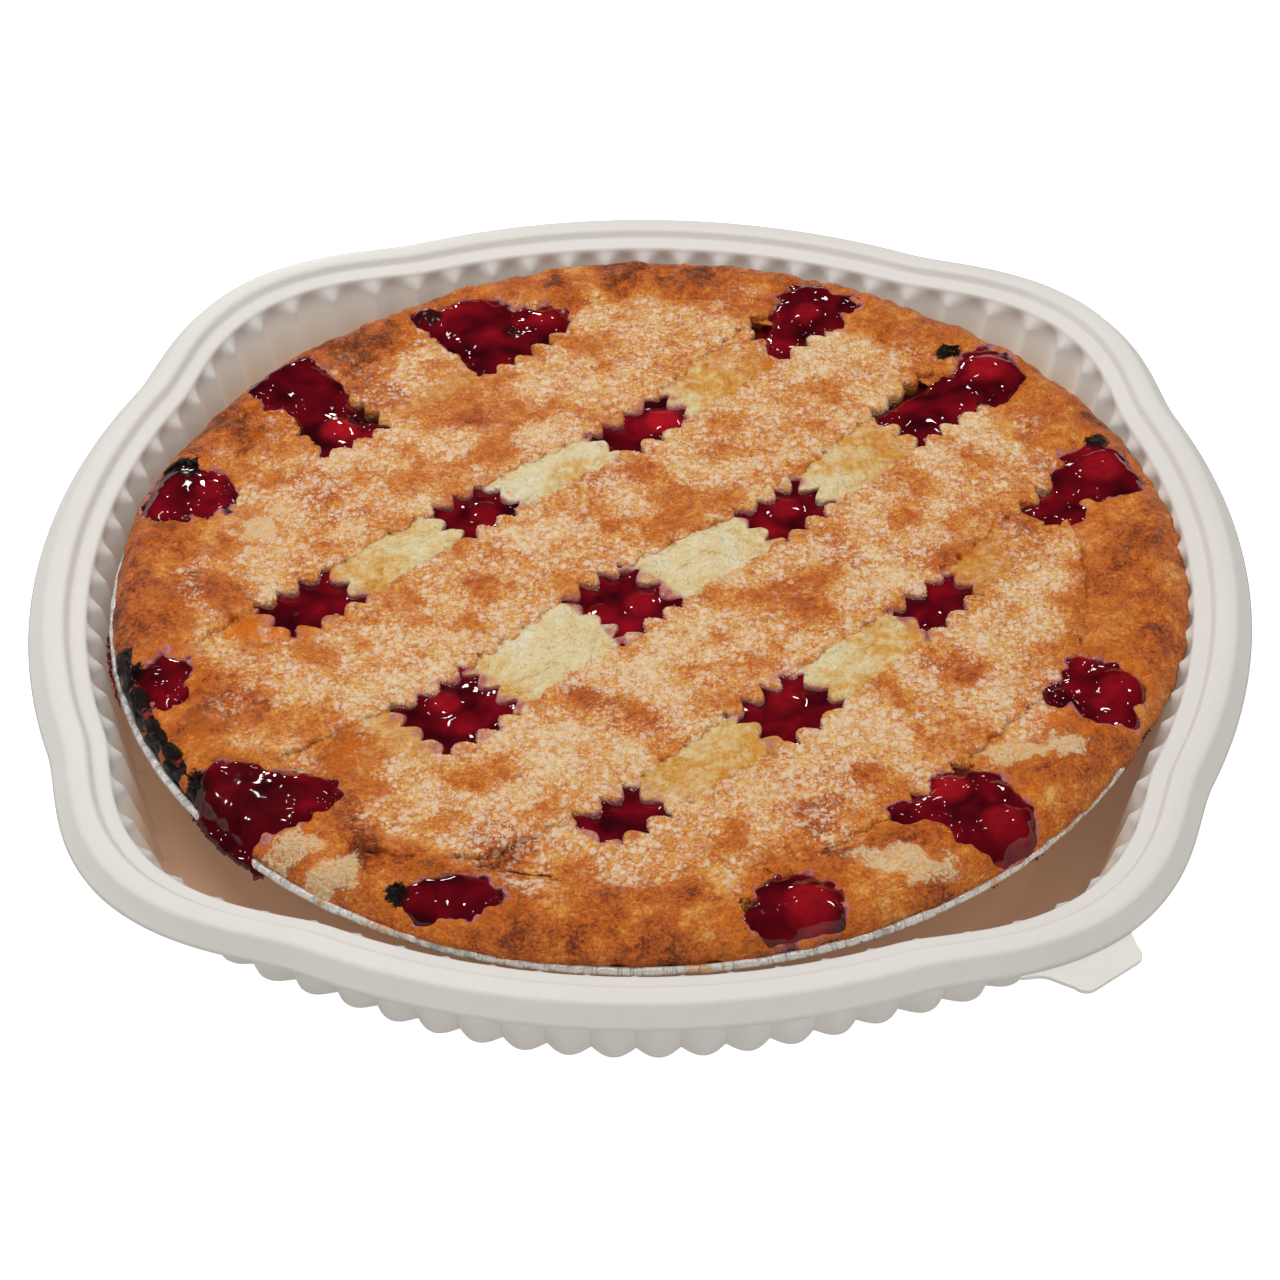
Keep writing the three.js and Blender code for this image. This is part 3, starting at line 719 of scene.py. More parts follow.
class Nodes:
    """Adds nodes to one tree and links what is given as a socket."""

    def __init__(self, tree):
        self.tree = tree

    def add(self, kind, inputs=None, **settings):
        node = self.tree.nodes.new(kind)
        for key, value in settings.items():
            setattr(node, key, value)
        for key, value in (inputs or {}).items():
            self.put(node.inputs[key], value)
        return node

    def put(self, socket, value):
        if isinstance(value, bpy.types.NodeSocket):
            self.tree.links.new(value, socket)
        else:
            socket.default_value = value

    def math(self, operation, *values):
        return self.add("ShaderNodeMath", dict(enumerate(values)), operation=operation).outputs[0]

    def vector_math(self, operation, *values):
        inputs = dict(enumerate(values))
        return self.add("ShaderNodeVectorMath", inputs, operation=operation).outputs[0]

    def step(self, value, low, high):
        """0 below low, 1 above high, smooth between."""
        inputs = {0: value, 1: low, 2: high}
        return self.add("ShaderNodeMapRange", inputs, interpolation_type="SMOOTHSTEP").outputs[0]

    def fade(self, value, low, high):
        """1 below low, 0 above high, smooth between."""
        return self.math("SUBTRACT", 1.0, self.step(value, low, high))

    def sway(self, value, blotches, amount):
        """A value pushed down and up by half the amount, as blotches go from 0 to 1."""
        return self.math("MULTIPLY_ADD", self.math("SUBTRACT", blotches, 0.5), amount, value)

    def colour(self, share, a, b):
        """Colour a, with b mixed over it by share."""
        inputs = {0: share, 6: full(a), 7: full(b)}
        return self.add("ShaderNodeMix", inputs, data_type="RGBA").outputs[2]

    def attribute(self, name):
        return self.add("ShaderNodeAttribute", attribute_name=name).outputs["Fac"]

    def held(self, name):
        """An attribute's value, in a geometry tree."""
        inputs = {"Name": name}
        return self.add("GeometryNodeInputNamedAttribute", inputs, data_type="FLOAT").outputs[0]

    def noise(self, vector, scale, detail=2.0, roughness=0.5, distortion=0.0):
        inputs = {
            "Vector": vector, "Scale": scale, "Detail": detail,
            "Roughness": roughness, "Distortion": distortion,
        }
        return self.add("ShaderNodeTexNoise", inputs).outputs[0]

    def jitter(self, amount, inputs):
        """A random push of up to half the amount along each axis; inputs set its noise."""
        noise = self.add("ShaderNodeTexNoise", inputs)
        push = self.vector_math("SUBTRACT", noise.outputs["Color"], (0.5, 0.5, 0.5))
        inputs = {0: push, "Scale": amount}
        return self.add("ShaderNodeVectorMath", inputs, operation="SCALE").outputs[0]


def full(colour):
    """A colour with its alpha, or the socket or four values that it already is."""
    if isinstance(colour, bpy.types.NodeSocket) or len(colour) == 4:
        return colour
    return (*colour, 1.0)


def shader_group(name, inputs, outputs):
    """A new shader node group with float sockets, its helper, and its two end nodes."""
    tree = bpy.data.node_groups.new(name, "ShaderNodeTree")
    tree.interface.new_socket("Vector", in_out="INPUT", socket_type="NodeSocketVector")
    for socket, value in inputs.items():
        made = tree.interface.new_socket(socket, in_out="INPUT", socket_type="NodeSocketFloat")
        made.default_value = value
    for socket in outputs:
        tree.interface.new_socket(socket, in_out="OUTPUT", socket_type="NodeSocketFloat")
    nodes = Nodes(tree)
    return nodes, nodes.add("NodeGroupInput"), nodes.add("NodeGroupOutput")


def mottling():
    """Node group: blotches of one size broken up by finer ones, from 0 to 1."""
    found = bpy.data.node_groups.get("mottling")
    if found:
        return found
    nodes, start, end = shader_group("mottling", {"Scale": 100.0, "Contrast": 1.0}, ("Value",))
    vector, scale, contrast = (start.outputs[key] for key in ("Vector", "Scale", "Contrast"))
    coarse = nodes.noise(vector, scale, 4.0, 0.55, 0.4)
    fine = nodes.noise(vector, nodes.math("MULTIPLY", scale, 3.7), 4.0, 0.6)
    both = nodes.math("MULTIPLY_ADD", coarse, 0.65, nodes.math("MULTIPLY", fine, 0.35))
    spread_out = nodes.sway(0.5, both, nodes.math("MULTIPLY", contrast, 3.0))
    nodes.put(end.inputs["Value"], nodes.math("MINIMUM", nodes.math("MAXIMUM", spread_out, 0.0), 1.0))
    return nodes.tree


def curds():
    """Node group: rounded granules of one size.

    Mask shows the share of them that Cover asks for, and Height is that of all of them.
    """
    found = bpy.data.node_groups.get("curds")
    if found:
        return found
    nodes, start, end = shader_group("curds", {"Scale": 650.0, "Cover": 0.5}, ("Mask", "Height"))
    vector, scale, cover = (start.outputs[key] for key in ("Vector", "Scale", "Cover"))
    inputs = {"Vector": vector, "Scale": scale, "Detail": 2.0}
    push = nodes.jitter(nodes.math("DIVIDE", 1.3, scale), inputs)
    inputs = {"Vector": nodes.vector_math("ADD", vector, push), "Scale": scale}
    cell = nodes.add("ShaderNodeTexVoronoi", inputs)
    distance = cell.outputs["Distance"]
    number = nodes.add("ShaderNodeSeparateXYZ", {0: cell.outputs["Color"]}).outputs[0]
    blob = nodes.fade(distance, 0.30, 0.66)
    picked = nodes.step(nodes.math("ADD", number, cover), 0.86, 1.14)
    nodes.put(end.inputs["Mask"], nodes.math("MULTIPLY", blob, picked))
    nodes.put(end.inputs["Height"], nodes.math("SUBTRACT", 1.0, distance))
    return nodes.tree


def use(nodes, tree, vector, **values):
    """Places a node group with its own values."""
    inputs = {"Vector": vector}
    inputs.update({key.title(): value for key, value in values.items()})
    return nodes.add("ShaderNodeGroup", inputs, node_tree=tree)


def new_material(name):
    """An empty material with its helper, its shader and its object coordinates."""
    material = bpy.data.materials.new(name)
    material.use_nodes = True
    nodes = Nodes(material.node_tree)
    shader = material.node_tree.nodes["Principled BSDF"]
    place = nodes.add("ShaderNodeTexCoord").outputs["Object"]
    return material, nodes, shader, place


def bump(nodes, shader, height, distance, strength=1.0):
    inputs = {"Height": height, "Distance": distance, "Strength": strength}
    nodes.put(shader.inputs["Normal"], nodes.add("ShaderNodeBump", inputs).outputs[0])


def ramp(nodes, value, stops):
    """Colours along a value: stops are (place, colour)."""
    node = nodes.add("ShaderNodeValToRGB", {0: value})
    elements = node.color_ramp.elements
    for _ in stops[2:]:
        elements.new(0.5)
    for element, (place, colour) in zip(elements, stops):
        element.position = place
        element.color = full(tuple(colour))
    return node.outputs[0]


def pastry_material(colours):
    """Baked dough: its colour follows how far each crumb is baked.

    The attributes say where it is pale, sugared, stained, soaked or burnt, and where shade is painted
    in the notch hollows of the lower strips.
    """
    found = bpy.data.materials.get("baked_pastry")
    if found:
        return found
    material, nodes, shader, place = new_material("baked_pastry")
    large = use(nodes, mottling(), place, scale=130.0, contrast=0.9).outputs[0]
    middle = use(nodes, mottling(), place, scale=420.0, contrast=1.2).outputs[0]
    small = use(nodes, mottling(), place, scale=1200.0, contrast=1.3).outputs[0]
    names = ("bake", "pale", "sugar", "stain_and_shade", "soak", "burn", "flake")
    bake, pale, sugar, stain_and_shade, soak, burn, flake = (nodes.attribute(name) for name in names)

    uneven = bake
    for blotches, amount in ((large, 0.12), (middle, 0.34), (small, 0.34)):
        uneven = nodes.sway(uneven, blotches, amount)
    golden = ramp(nodes, uneven, (
        (0.05, colours.pastry_cream), (0.28, colours.pastry_light), (0.46, colours.pastry_gold),
        (0.62, colours.pastry_orange), (0.84, colours.pastry_brown), (1.0, colours.crust_dark),
    ))
    evener = nodes.sway(nodes.sway(bake, large, 0.45), middle, 0.22)
    buttery = ramp(nodes, evener, (
        (0.05, colours.pastry_pale), (0.3, colours.pastry_butter), (0.55, colours.pastry_yellow),
        (0.9, colours.pastry_orange),
    ))
    curdled = use(nodes, curds(), place, scale=400.0, cover=0.5)
    lumpy = nodes.math("MULTIPLY", curdled.outputs["Mask"], 0.5)
    buttery = nodes.colour(lumpy, buttery, colours.pastry_curd)
    look = nodes.colour(pale, golden, buttery)
    soaked = nodes.colour(middle, colours.soaked, colours.pastry_orange)
    look = nodes.colour(nodes.math("MULTIPLY", soak, 0.85), look, soaked)
    covered = nodes.math("MULTIPLY_ADD", sugar, 0.75, nodes.sway(0.12, middle, 0.6))
    coarse = use(nodes, curds(), place, scale=560.0, cover=covered)
    fine = use(nodes, curds(), place, scale=1150.0, cover=covered)
    finely = nodes.math("MULTIPLY", fine.outputs["Mask"], 0.85)
    frosted = nodes.math("MAXIMUM", coarse.outputs["Mask"], finely)
    whitened = nodes.step(sugar, 0.02, 0.4)
    frost = nodes.colour(whitened, colours.pastry_gold, colours.sugar_white)
    sugared = nodes.math("MULTIPLY_ADD", whitened, 0.46, 0.28)
    sugared = nodes.math("MULTIPLY", sugared, nodes.math("MULTIPLY_ADD", pale, -0.5, 1.0))
    look = nodes.colour(nodes.math("MULTIPLY", frosted, sugared), look, frost)
    ragged = nodes.sway(nodes.sway(flake, middle, 0.7), small, 0.5)
    flaked = nodes.colour(small, colours.pastry_light, colours.pastry_pale)
    look = nodes.colour(nodes.math("MULTIPLY", nodes.step(ragged, 0.40, 0.80), 0.75), look, flaked)
    # The stain attribute is filling stain, and also painted shade in the lower strips' notch hollows.
    stained = nodes.colour(middle, colours.stained, colours.stain_light)
    stained = nodes.colour(nodes.step(stain_and_shade, 0.55, 1.0), stained, colours.gel_dark)
    look = nodes.colour(nodes.step(stain_and_shade, 0.05, 0.6), look, stained)
    charred = nodes.step(nodes.math("MULTIPLY_ADD", small, 0.5, burn), 0.65, 1.0)
    look = nodes.colour(charred, look, colours.burnt)
    nodes.put(shader.inputs["Base Color"], look)

    wet = nodes.math("MAXIMUM", stain_and_shade, nodes.math("MAXIMUM", soak, burn))
    dry = nodes.math("MULTIPLY_ADD", frosted, -0.10, nodes.math("MULTIPLY_ADD", bake, -0.16, 0.50))
    nodes.put(shader.inputs["Roughness"], nodes.math("MULTIPLY_ADD", wet, -0.26, dry))
    height = nodes.math("ADD", coarse.outputs["Height"], middle)
    curd_height = nodes.math("MULTIPLY", curdled.outputs["Height"], pale)
    for bumps, share in ((fine.outputs["Height"], 0.7), (small, 0.5), (curd_height, 2.2)):
        height = nodes.math("MULTIPLY_ADD", bumps, share, height)
    bump(nodes, shader, height, 0.00045, 1.0)
    shader.inputs["Specular IOR Level"].default_value = 0.4
    return material


def gel_material(colours):
    """Set cherry filling: deep wine red, clearer and brighter over the cherries."""
    found = bpy.data.materials.get("set_filling")
    if found:
        return found
    material, nodes, shader, place = new_material("set_filling")
    cherry, burn = nodes.attribute("cherry"), nodes.attribute("burn")
    large = nodes.noise(place, 120.0, 2.0, 0.45, 0.3)
    small = use(nodes, mottling(), place, scale=420.0, contrast=1.0).outputs[0]
    look = ramp(nodes, large, (
        (0.32, colours.gel_dark), (0.55, colours.gel_middle), (0.8, colours.gel_clear),
    ))
    flesh = nodes.colour(small, colours.gel_clear, colours.cherry)
    look = nodes.colour(cherry, look, flesh)
    look = nodes.colour(nodes.math("MULTIPLY", burn, 0.9), look, colours.burnt)
    nodes.put(shader.inputs["Base Color"], look)
    nodes.put(shader.inputs["Roughness"], nodes.math("MULTIPLY_ADD", burn, 0.15, 0.035))
    shader.inputs["IOR"].default_value = 1.45
    return material


def tray_material(colours):
    """Cream thermoformed plastic: satin, with faint waves; the warmer tint low down is painted bounce
    light and shade from the pie, and the low walls glow as painted light.
    """
    material, nodes, shader, place = new_material("moulded_plastic")
    clouds = use(nodes, mottling(), place, scale=25.0, contrast=0.8).outputs[0]
    specks = use(nodes, mottling(), place, scale=700.0, contrast=0.8).outputs[0]
    height = nodes.add("ShaderNodeSeparateXYZ", {0: place}).outputs["Z"]
    # Low on the upper skin the plastic is tinted warm, and browner beside the pie: painted bounce
    # light and shade from the pie.
    low = nodes.math("MULTIPLY", nodes.fade(height, 0.010, 0.0305), nodes.attribute("upper_skin"))
    flat = nodes.vector_math("MULTIPLY", place, (1.0, 1.0, 0.0))
    away = nodes.add("ShaderNodeVectorMath", {0: flat}, operation="LENGTH").outputs["Value"]
    look = nodes.colour(nodes.math("MULTIPLY", clouds, 0.5), colours.tray_cream, colours.tray_shade)
    painted_bounce_and_shade = nodes.colour(nodes.step(away, 0.118, 0.148), colours.tray_painted_shade_and_bounce, colours.tray_painted_bounce_and_specks)
    look = nodes.colour(nodes.math("MULTIPLY", low, 0.75), look, painted_bounce_and_shade)
    look = nodes.colour(nodes.math("MULTIPLY", specks, 0.06), look, colours.tray_painted_bounce_and_specks)
    nodes.put(shader.inputs["Base Color"], look)
    nodes.put(shader.inputs["Roughness"], nodes.math("MULTIPLY_ADD", specks, 0.12, 0.36))
    # Below about 26 to 32 mm the walls glow with their own colour: painted light through the thin
    # plastic.
    wall = nodes.fade(height, 0.026, 0.032)
    nodes.put(shader.inputs["Emission Color"], nodes.colour(wall, (0, 0, 0), look))
    shader.inputs["Emission Strength"].default_value = 0.2
    waves = nodes.math("MULTIPLY_ADD", clouds, 2.0, nodes.math("MULTIPLY", specks, 0.15))
    bump(nodes, shader, waves, 0.0004, 0.35)
    return material


def foil_material(colours):
    """Rolled aluminium foil: crinkled, with syrup baked on in places, and painted shade in darker
    blotches and low down.
    """
    material, nodes, shader, place = new_material("rolled_foil")
    split = nodes.add("ShaderNodeSeparateXYZ", {0: place})
    turned = nodes.math("ARCTAN2", split.outputs["Y"], split.outputs["X"])
    along = nodes.math("MULTIPLY", turned, 0.127)
    upwards = nodes.math("MULTIPLY", split.outputs["Z"], 0.35)
    unrolled = nodes.add("ShaderNodeCombineXYZ", {0: along, 2: upwards}).outputs[0]
    inputs = {"Vector": unrolled, "Scale": 210.0}
    creases = nodes.add("ShaderNodeTexVoronoi", inputs, feature="DISTANCE_TO_EDGE").outputs[0]
    creases = nodes.step(creases, 0.0, 0.12)
    fine = use(nodes, mottling(), unrolled, scale=160.0, contrast=1.2).outputs[0]
    syrup = nodes.step(use(nodes, mottling(), place, scale=60.0, contrast=1.6).outputs[0], 0.80, 0.97)
    # Blotches of foil_shade over the foil: painted shade and reflection of the crinkled metal.
    look = nodes.colour(nodes.step(fine, -0.2, 0.45), colours.foil_shade, colours.foil)
    # Below about 27 mm the foil takes foil_shade: painted shade on the roll's underside and the wall
    # below it.
    above = nodes.step(split.outputs["Z"], 0.0270, 0.0285)
    look = nodes.colour(above, colours.foil_shade, look)
    look = nodes.colour(nodes.math("MULTIPLY", syrup, 0.7), look, colours.caramel)
    nodes.put(shader.inputs["Base Color"], look)
    nodes.put(shader.inputs["Metallic"], nodes.math("MULTIPLY_ADD", syrup, -0.3, 0.5))
    nodes.put(shader.inputs["Roughness"], nodes.math("MULTIPLY_ADD", fine, 0.2, 0.16))
    height = nodes.math("MULTIPLY_ADD", fine, 1.2, creases)
    bump(nodes, shader, height, 0.0007, 0.9)
    return material


def sugar_material(colours):
    """Coarse sugar: clear-edged whitish grains."""
    material, nodes, shader, place = new_material("sugar_grains")
    tint = nodes.noise(place, 500.0, 2.0)
    look = nodes.colour(nodes.step(tint, 0.35, 0.65), colours.sugar_shade, colours.sugar_white)
    nodes.put(shader.inputs["Base Color"], look)
    nodes.put(shader.inputs["Roughness"], nodes.math("MULTIPLY_ADD", tint, 0.3, 0.15))
    return material


def burnt_material(colours):
    """Filling that boiled over and burnt on: black, glossy, amber where it is thin."""
    material, nodes, shader, place = new_material("burnt_syrup")
    blots = use(nodes, mottling(), place, scale=260.0, contrast=1.5).outputs[0]
    look = nodes.colour(nodes.step(blots, 0.6, 0.95), colours.burnt, colours.syrup)
    nodes.put(shader.inputs["Base Color"], look)
    nodes.put(shader.inputs["Roughness"], nodes.math("MULTIPLY_ADD", blots, 0.2, 0.1))
    bump(nodes, shader, blots, 0.0012, 0.9)
    return material


# ---------------------------------------------------------------------------------------
# Geometry Nodes


def geometry_tree(name, sockets):
    """A geometry node group with named inputs: (name, socket type, default)."""
    tree = bpy.data.node_groups.new(name, "GeometryNodeTree")
    tree.interface.new_socket("Geometry", in_out="INPUT", socket_type="NodeSocketGeometry")
    for label, kind, value in sockets:
        made = tree.interface.new_socket(label, in_out="INPUT", socket_type=kind)
        if value is not None:
            made.default_value = value
    tree.interface.new_socket("Geometry", in_out="OUTPUT", socket_type="NodeSocketGeometry")
    nodes = Nodes(tree)
    return nodes, nodes.add("NodeGroupInput"), nodes.add("NodeGroupOutput")


def grow(name, tree, values, mesh):
    """Runs a geometry tree on a carrier mesh and keeps the result as a plain mesh object."""
    carrier = add_object(name + "_carrier", mesh)
    modifier = carrier.modifiers.new("shape", "NODES")
    modifier.node_group = tree
    for item in tree.interface.items_tree:
        if item.item_type == "SOCKET" and item.in_out == "INPUT" and item.name in values:
            modifier[item.identifier] = values[item.name]
    depsgraph = bpy.context.evaluated_depsgraph_get()
    result = bpy.data.meshes.new_from_object(carrier.evaluated_get(depsgraph))
    result.name = name
    bpy.data.objects.remove(carrier)
    return add_object(name, result)


def finish_tree(nodes, start, end, geometry):
    """Ends a geometry tree in Realize Instances and Set Material."""
    realized = nodes.add("GeometryNodeRealizeInstances", {"Geometry": geometry}).outputs[0]
    inputs = {"Geometry": realized, "Material": start.outputs["Material"]}
    painted = nodes.add("GeometryNodeSetMaterial", inputs).outputs[0]
    nodes.put(end.inputs[0], painted)


CORNER_HALF_WIDTH = np.radians(27.5)
MERGED_WITHIN = 2e-5


def ring_tree():
    """Geometry tree: a profile swept round the middle, with flutes pressed into its wall.

    Its outline is four side arcs and four corner arcs.
    The carrier is a grid whose points hold their angle and their station's inset, corner
    inset, height and flute depth.
    """
    sockets = (
        ("Side Radius", "NodeSocketFloat", 0.1709),
        ("Side Centre", "NodeSocketFloat", -0.0262),
        ("Corner Radius", "NodeSocketFloat", 0.05),
        ("Corner Centre", "NodeSocketFloat", 0.1073),
        ("Blend", "NodeSocketFloat", 0.0084),
        ("Flutes", "NodeSocketFloat", 80.0),
        ("Cusp Softness", "NodeSocketFloat", 0.03),
        ("Crinkle", "NodeSocketFloat", 0.0),
        ("Crinkle Size", "NodeSocketFloat", 200.0),
        ("Material", "NodeSocketMaterial", None),
    )
    nodes, start, end = geometry_tree("swept_ring", sockets)
    value = start.outputs

    def arc(angle, centre, radius):
        """Distance from the middle to a circle whose centre lies out along angle 0."""
        across = nodes.math("MULTIPLY", centre, nodes.math("SINE", angle))
        squared = nodes.math("MULTIPLY", across, across)
        inside = nodes.math("SUBTRACT", nodes.math("MULTIPLY", radius, radius), squared)
        root = nodes.math("SQRT", nodes.math("MAXIMUM", inside, 0.0))
        return nodes.math("MULTIPLY_ADD", centre, nodes.math("COSINE", angle), root)

    def outline(angle):
        """Distance from the middle to the outline, the two arcs blended where they meet."""
        eighth = nodes.math("PINGPONG", angle, TURN / 8)
        side = arc(eighth, value["Side Centre"], value["Side Radius"])
        corner_angle = nodes.math("SUBTRACT", eighth, TURN / 8)
        corner = arc(corner_angle, value["Corner Centre"], value["Corner Radius"])
        away = nodes.math("ABSOLUTE", corner_angle)
        on_corner = nodes.math("LESS_THAN", away, CORNER_HALF_WIDTH)
        corner = nodes.math("MULTIPLY", corner, on_corner)
        apart = nodes.math("ABSOLUTE", nodes.math("SUBTRACT", side, corner))
        near = nodes.math("MAXIMUM", nodes.math("SUBTRACT", value["Blend"], apart), 0.0)
        near = nodes.math("DIVIDE", near, nodes.math("MAXIMUM", value["Blend"], 1e-6))
        lift = nodes.math("MULTIPLY", nodes.math("MULTIPLY", near, near), value["Blend"])
        larger = nodes.math("MAXIMUM", side, corner)
        return nodes.math("MULTIPLY_ADD", lift, 0.25, larger)

    angle = nodes.held("angle")
    here, straight, diagonal = outline(angle), outline(0.0), outline(TURN / 8)
    span = nodes.math("MAXIMUM", nodes.math("SUBTRACT", diagonal, straight), 1e-6)
    share = nodes.math("DIVIDE", nodes.math("SUBTRACT", here, straight), span)
    half = nodes.math("MULTIPLY", nodes.math("MULTIPLY", angle, value["Flutes"]), 0.5)
    lobe = nodes.math("COSINE", half)
    lobe = nodes.math("SQRT", nodes.math("MULTIPLY_ADD", lobe, lobe, value["Cusp Softness"]))
    wave = nodes.math("MULTIPLY_ADD", lobe, 2.0, -1.0)
    reach = nodes.math("SUBTRACT", here, nodes.held("inset"))
    reach = nodes.math("SUBTRACT", reach, nodes.math("MULTIPLY", nodes.held("corner_inset"), share))
    reach = nodes.math("MAXIMUM", nodes.math("MULTIPLY_ADD", nodes.held("flute"), wave, reach), 0.0)
    x = nodes.math("MULTIPLY", reach, nodes.math("COSINE", angle))
    y = nodes.math("MULTIPLY", reach, nodes.math("SINE", angle))
    swept = nodes.add("ShaderNodeCombineXYZ", {0: x, 1: y, 2: nodes.held("height")}).outputs[0]
    inputs = {"Vector": swept, "Scale": value["Crinkle Size"], "Detail": 3.0}
    crinkled = nodes.vector_math("ADD", swept, nodes.jitter(value["Crinkle"], inputs))
    inputs = {"Geometry": value["Geometry"], "Position": crinkled}
    shaped = nodes.add("GeometryNodeSetPosition", inputs).outputs[0]
    inputs = {"Geometry": shaped, "Distance": MERGED_WITHIN}
    merged = nodes.add("GeometryNodeMergeByDistance", inputs).outputs[0]
    finish_tree(nodes, start, end, merged)
    return nodes.tree


def grid_carrier(name, columns, stations, sunk=None):
    """The carrier of a swept ring: stations holds (inset, corner inset, height, flute).

    sunk(angle, height) says how far places are drawn in and lowered.
    """
    stations = np.array(stations)
    angles = np.linspace(0, TURN, columns + 1)
    angle, row = np.meshgrid(angles, np.arange(len(stations)), indexing="ij")
    picked = stations[row.ravel()]
    angle = angle.ravel()
    if sunk:
        drawn = sunk(angle, picked[:, 2])
        picked = picked + np.stack([drawn, 0 * drawn, -0.4 * drawn, 0 * drawn], -1)
    points = np.stack([np.cos(angle), np.sin(angle), picked[:, 2]], -1)
    rows = len(stations)
    i, j = np.meshgrid(np.arange(columns), np.arange(rows - 1), indexing="ij")
    first = (i * rows + j).ravel()
    quads = np.stack([first, first + rows, first + rows + 1, first + 1], -1)
    mesh = bpy.data.meshes.new(name)
    mesh.from_pydata((points * MM).tolist(), [], quads.tolist())
    for column, field in enumerate(("inset", "corner_inset", "height", "flute")):
        hold(mesh, field, picked[:, column] * MM)
    hold(mesh, "angle", angle)
    mesh.shade_smooth()
    return mesh


def rounded_profile(points, radius, step, slack=0.03, longest=6):
    """Points along a profile of straight runs, with its bends rounded by averaging.

    Straight stretches keep only some of their points, at most longest steps apart.
    """
    points = np.array(points, float)
    runs = np.diff(points[:, [0, 2]], axis=0)
    lengths = np.concatenate([[0], np.cumsum(np.hypot(runs[:, 0], runs[:, 1]))])
    whole = lengths[-1]
    spots = np.append(np.arange(0, whole, step), whole)
    near_end = np.clip(np.minimum(spots, whole - spots) / radius, 0, 1)
    total = np.zeros((len(spots), points.shape[1]))
    offsets = np.linspace(-radius, radius, 9)
    for offset in offsets:
        moved = np.clip(spots + offset * near_end, 0, whole)
        for k in range(points.shape[1]):
            total[:, k] += np.interp(moved, lengths, points[:, k])
    rounded = total / len(offsets)
    kept = [0]
    for k in range(1, len(rounded) - 1):
        straight = np.linspace(rounded[kept[-1]], rounded[k + 1], k + 2 - kept[-1])
        strays = abs(straight - rounded[kept[-1]:k + 2]).max() > slack
        if strays or k + 1 - kept[-1] > longest:
            kept.append(k)
    return rounded[kept + [len(rounded) - 1]]


def rope_tree():
    """Geometry tree: a lumpy rope along a path whose points hold their thickness."""
    sockets = (
        ("Lumpiness", "NodeSocketFloat", 0.0016),
        ("Lump Size", "NodeSocketFloat", 600.0),
        ("Material", "NodeSocketMaterial", None),
    )
    nodes, start, end = geometry_tree("lumpy_rope", sockets)
    value = start.outputs
    path = nodes.add("GeometryNodeMeshToCurve", {"Mesh": value["Geometry"]}).outputs[0]
    path = nodes.add("GeometryNodeResampleCurve", {"Curve": path, "Count": 240}).outputs[0]
    inputs = {"Resolution": 20, "Radius": 1.0}
    circle = nodes.add("GeometryNodeCurvePrimitiveCircle", inputs).outputs[0]
    inputs = {
        "Curve": path, "Profile Curve": circle,
        "Scale": nodes.held("thickness"), "Fill Caps": True,
    }
    tube = nodes.add("GeometryNodeCurveToMesh", inputs).outputs[0]
    push = nodes.jitter(value["Lumpiness"], {"Scale": value["Lump Size"], "Detail": 2.0})
    moved = nodes.add("GeometryNodeSetPosition", {"Geometry": tube, "Offset": push}).outputs[0]
    finish_tree(nodes, start, end, moved)
    return nodes.tree


def grains_tree():
    """Geometry tree: small eight-sided grains scattered where the sugar attribute is high."""
    sockets = (
        ("Density", "NodeSocketFloat", 0.0),
        ("Grain", "NodeSocketFloat", 0.0005),
        ("Seed", "NodeSocketInt", 7),
        ("Material", "NodeSocketMaterial", None),
    )
    nodes, start, end = geometry_tree("scattered_grains", sockets)
    value = start.outputs
    sugar = nodes.held("sugar")
    density = nodes.math("MULTIPLY", nodes.math("MULTIPLY", sugar, sugar), value["Density"])
    inputs = {"Mesh": value["Geometry"], "Density": density, "Seed": value["Seed"]}
    points = nodes.add("GeometryNodeDistributePointsOnFaces", inputs)
    inputs = {"Segments": 4, "Rings": 2, "Radius": value["Grain"]}
    grain_mesh = nodes.add("GeometryNodeMeshUVSphere", inputs)
    kind = "FunctionNodeRandomValue"
    inputs = {"Min": (0, 0, 0), "Max": (TURN, TURN, TURN)}
    turn = nodes.add(kind, inputs, data_type="FLOAT_VECTOR")
    nodes.put(turn.inputs["Seed"], value["Seed"])
    inputs = {"Min": (0.5, 0.5, 0.4), "Max": (1.3, 1.1, 0.9)}
    size = nodes.add(kind, inputs, data_type="FLOAT_VECTOR")
    inputs = {
        "Points": points.outputs["Points"], "Instance": grain_mesh.outputs[0],
        "Rotation": turn.outputs[0], "Scale": size.outputs[0],
    }
    scattered = nodes.add("GeometryNodeInstanceOnPoints", inputs).outputs[0]
    finish_tree(nodes, start, end, scattered)
    return nodes.tree


# ---------------------------------------------------------------------------------------
# Sizes and colours that a user would change


def length(name, description, default):
    return bpy.props.FloatProperty(
        name=name, description=description, default=default * MM, unit="LENGTH", precision=4
    )


def paint(name, description, red, green, blue):
    return bpy.props.FloatVectorProperty(
        name=name, description=description, subtype="COLOR", size=3, min=0, max=1,
        default=srgb(red, green, blue),
    )


class PieSizes(bpy.types.PropertyGroup):
    """Fineness and heights of the pie's parts."""

    station: length("Strip station", "Distance between rings of points along a strip", 0.5)
    gel_step: length("Gel grid", "Grid step of the gel's surface", 0.6)
    strip_round: length("Strip rounding", "Radius of a strip's upper border", 1.3)
    sugar_grain: length("Sugar grain", "Radius of a sugar grain", 0.22)


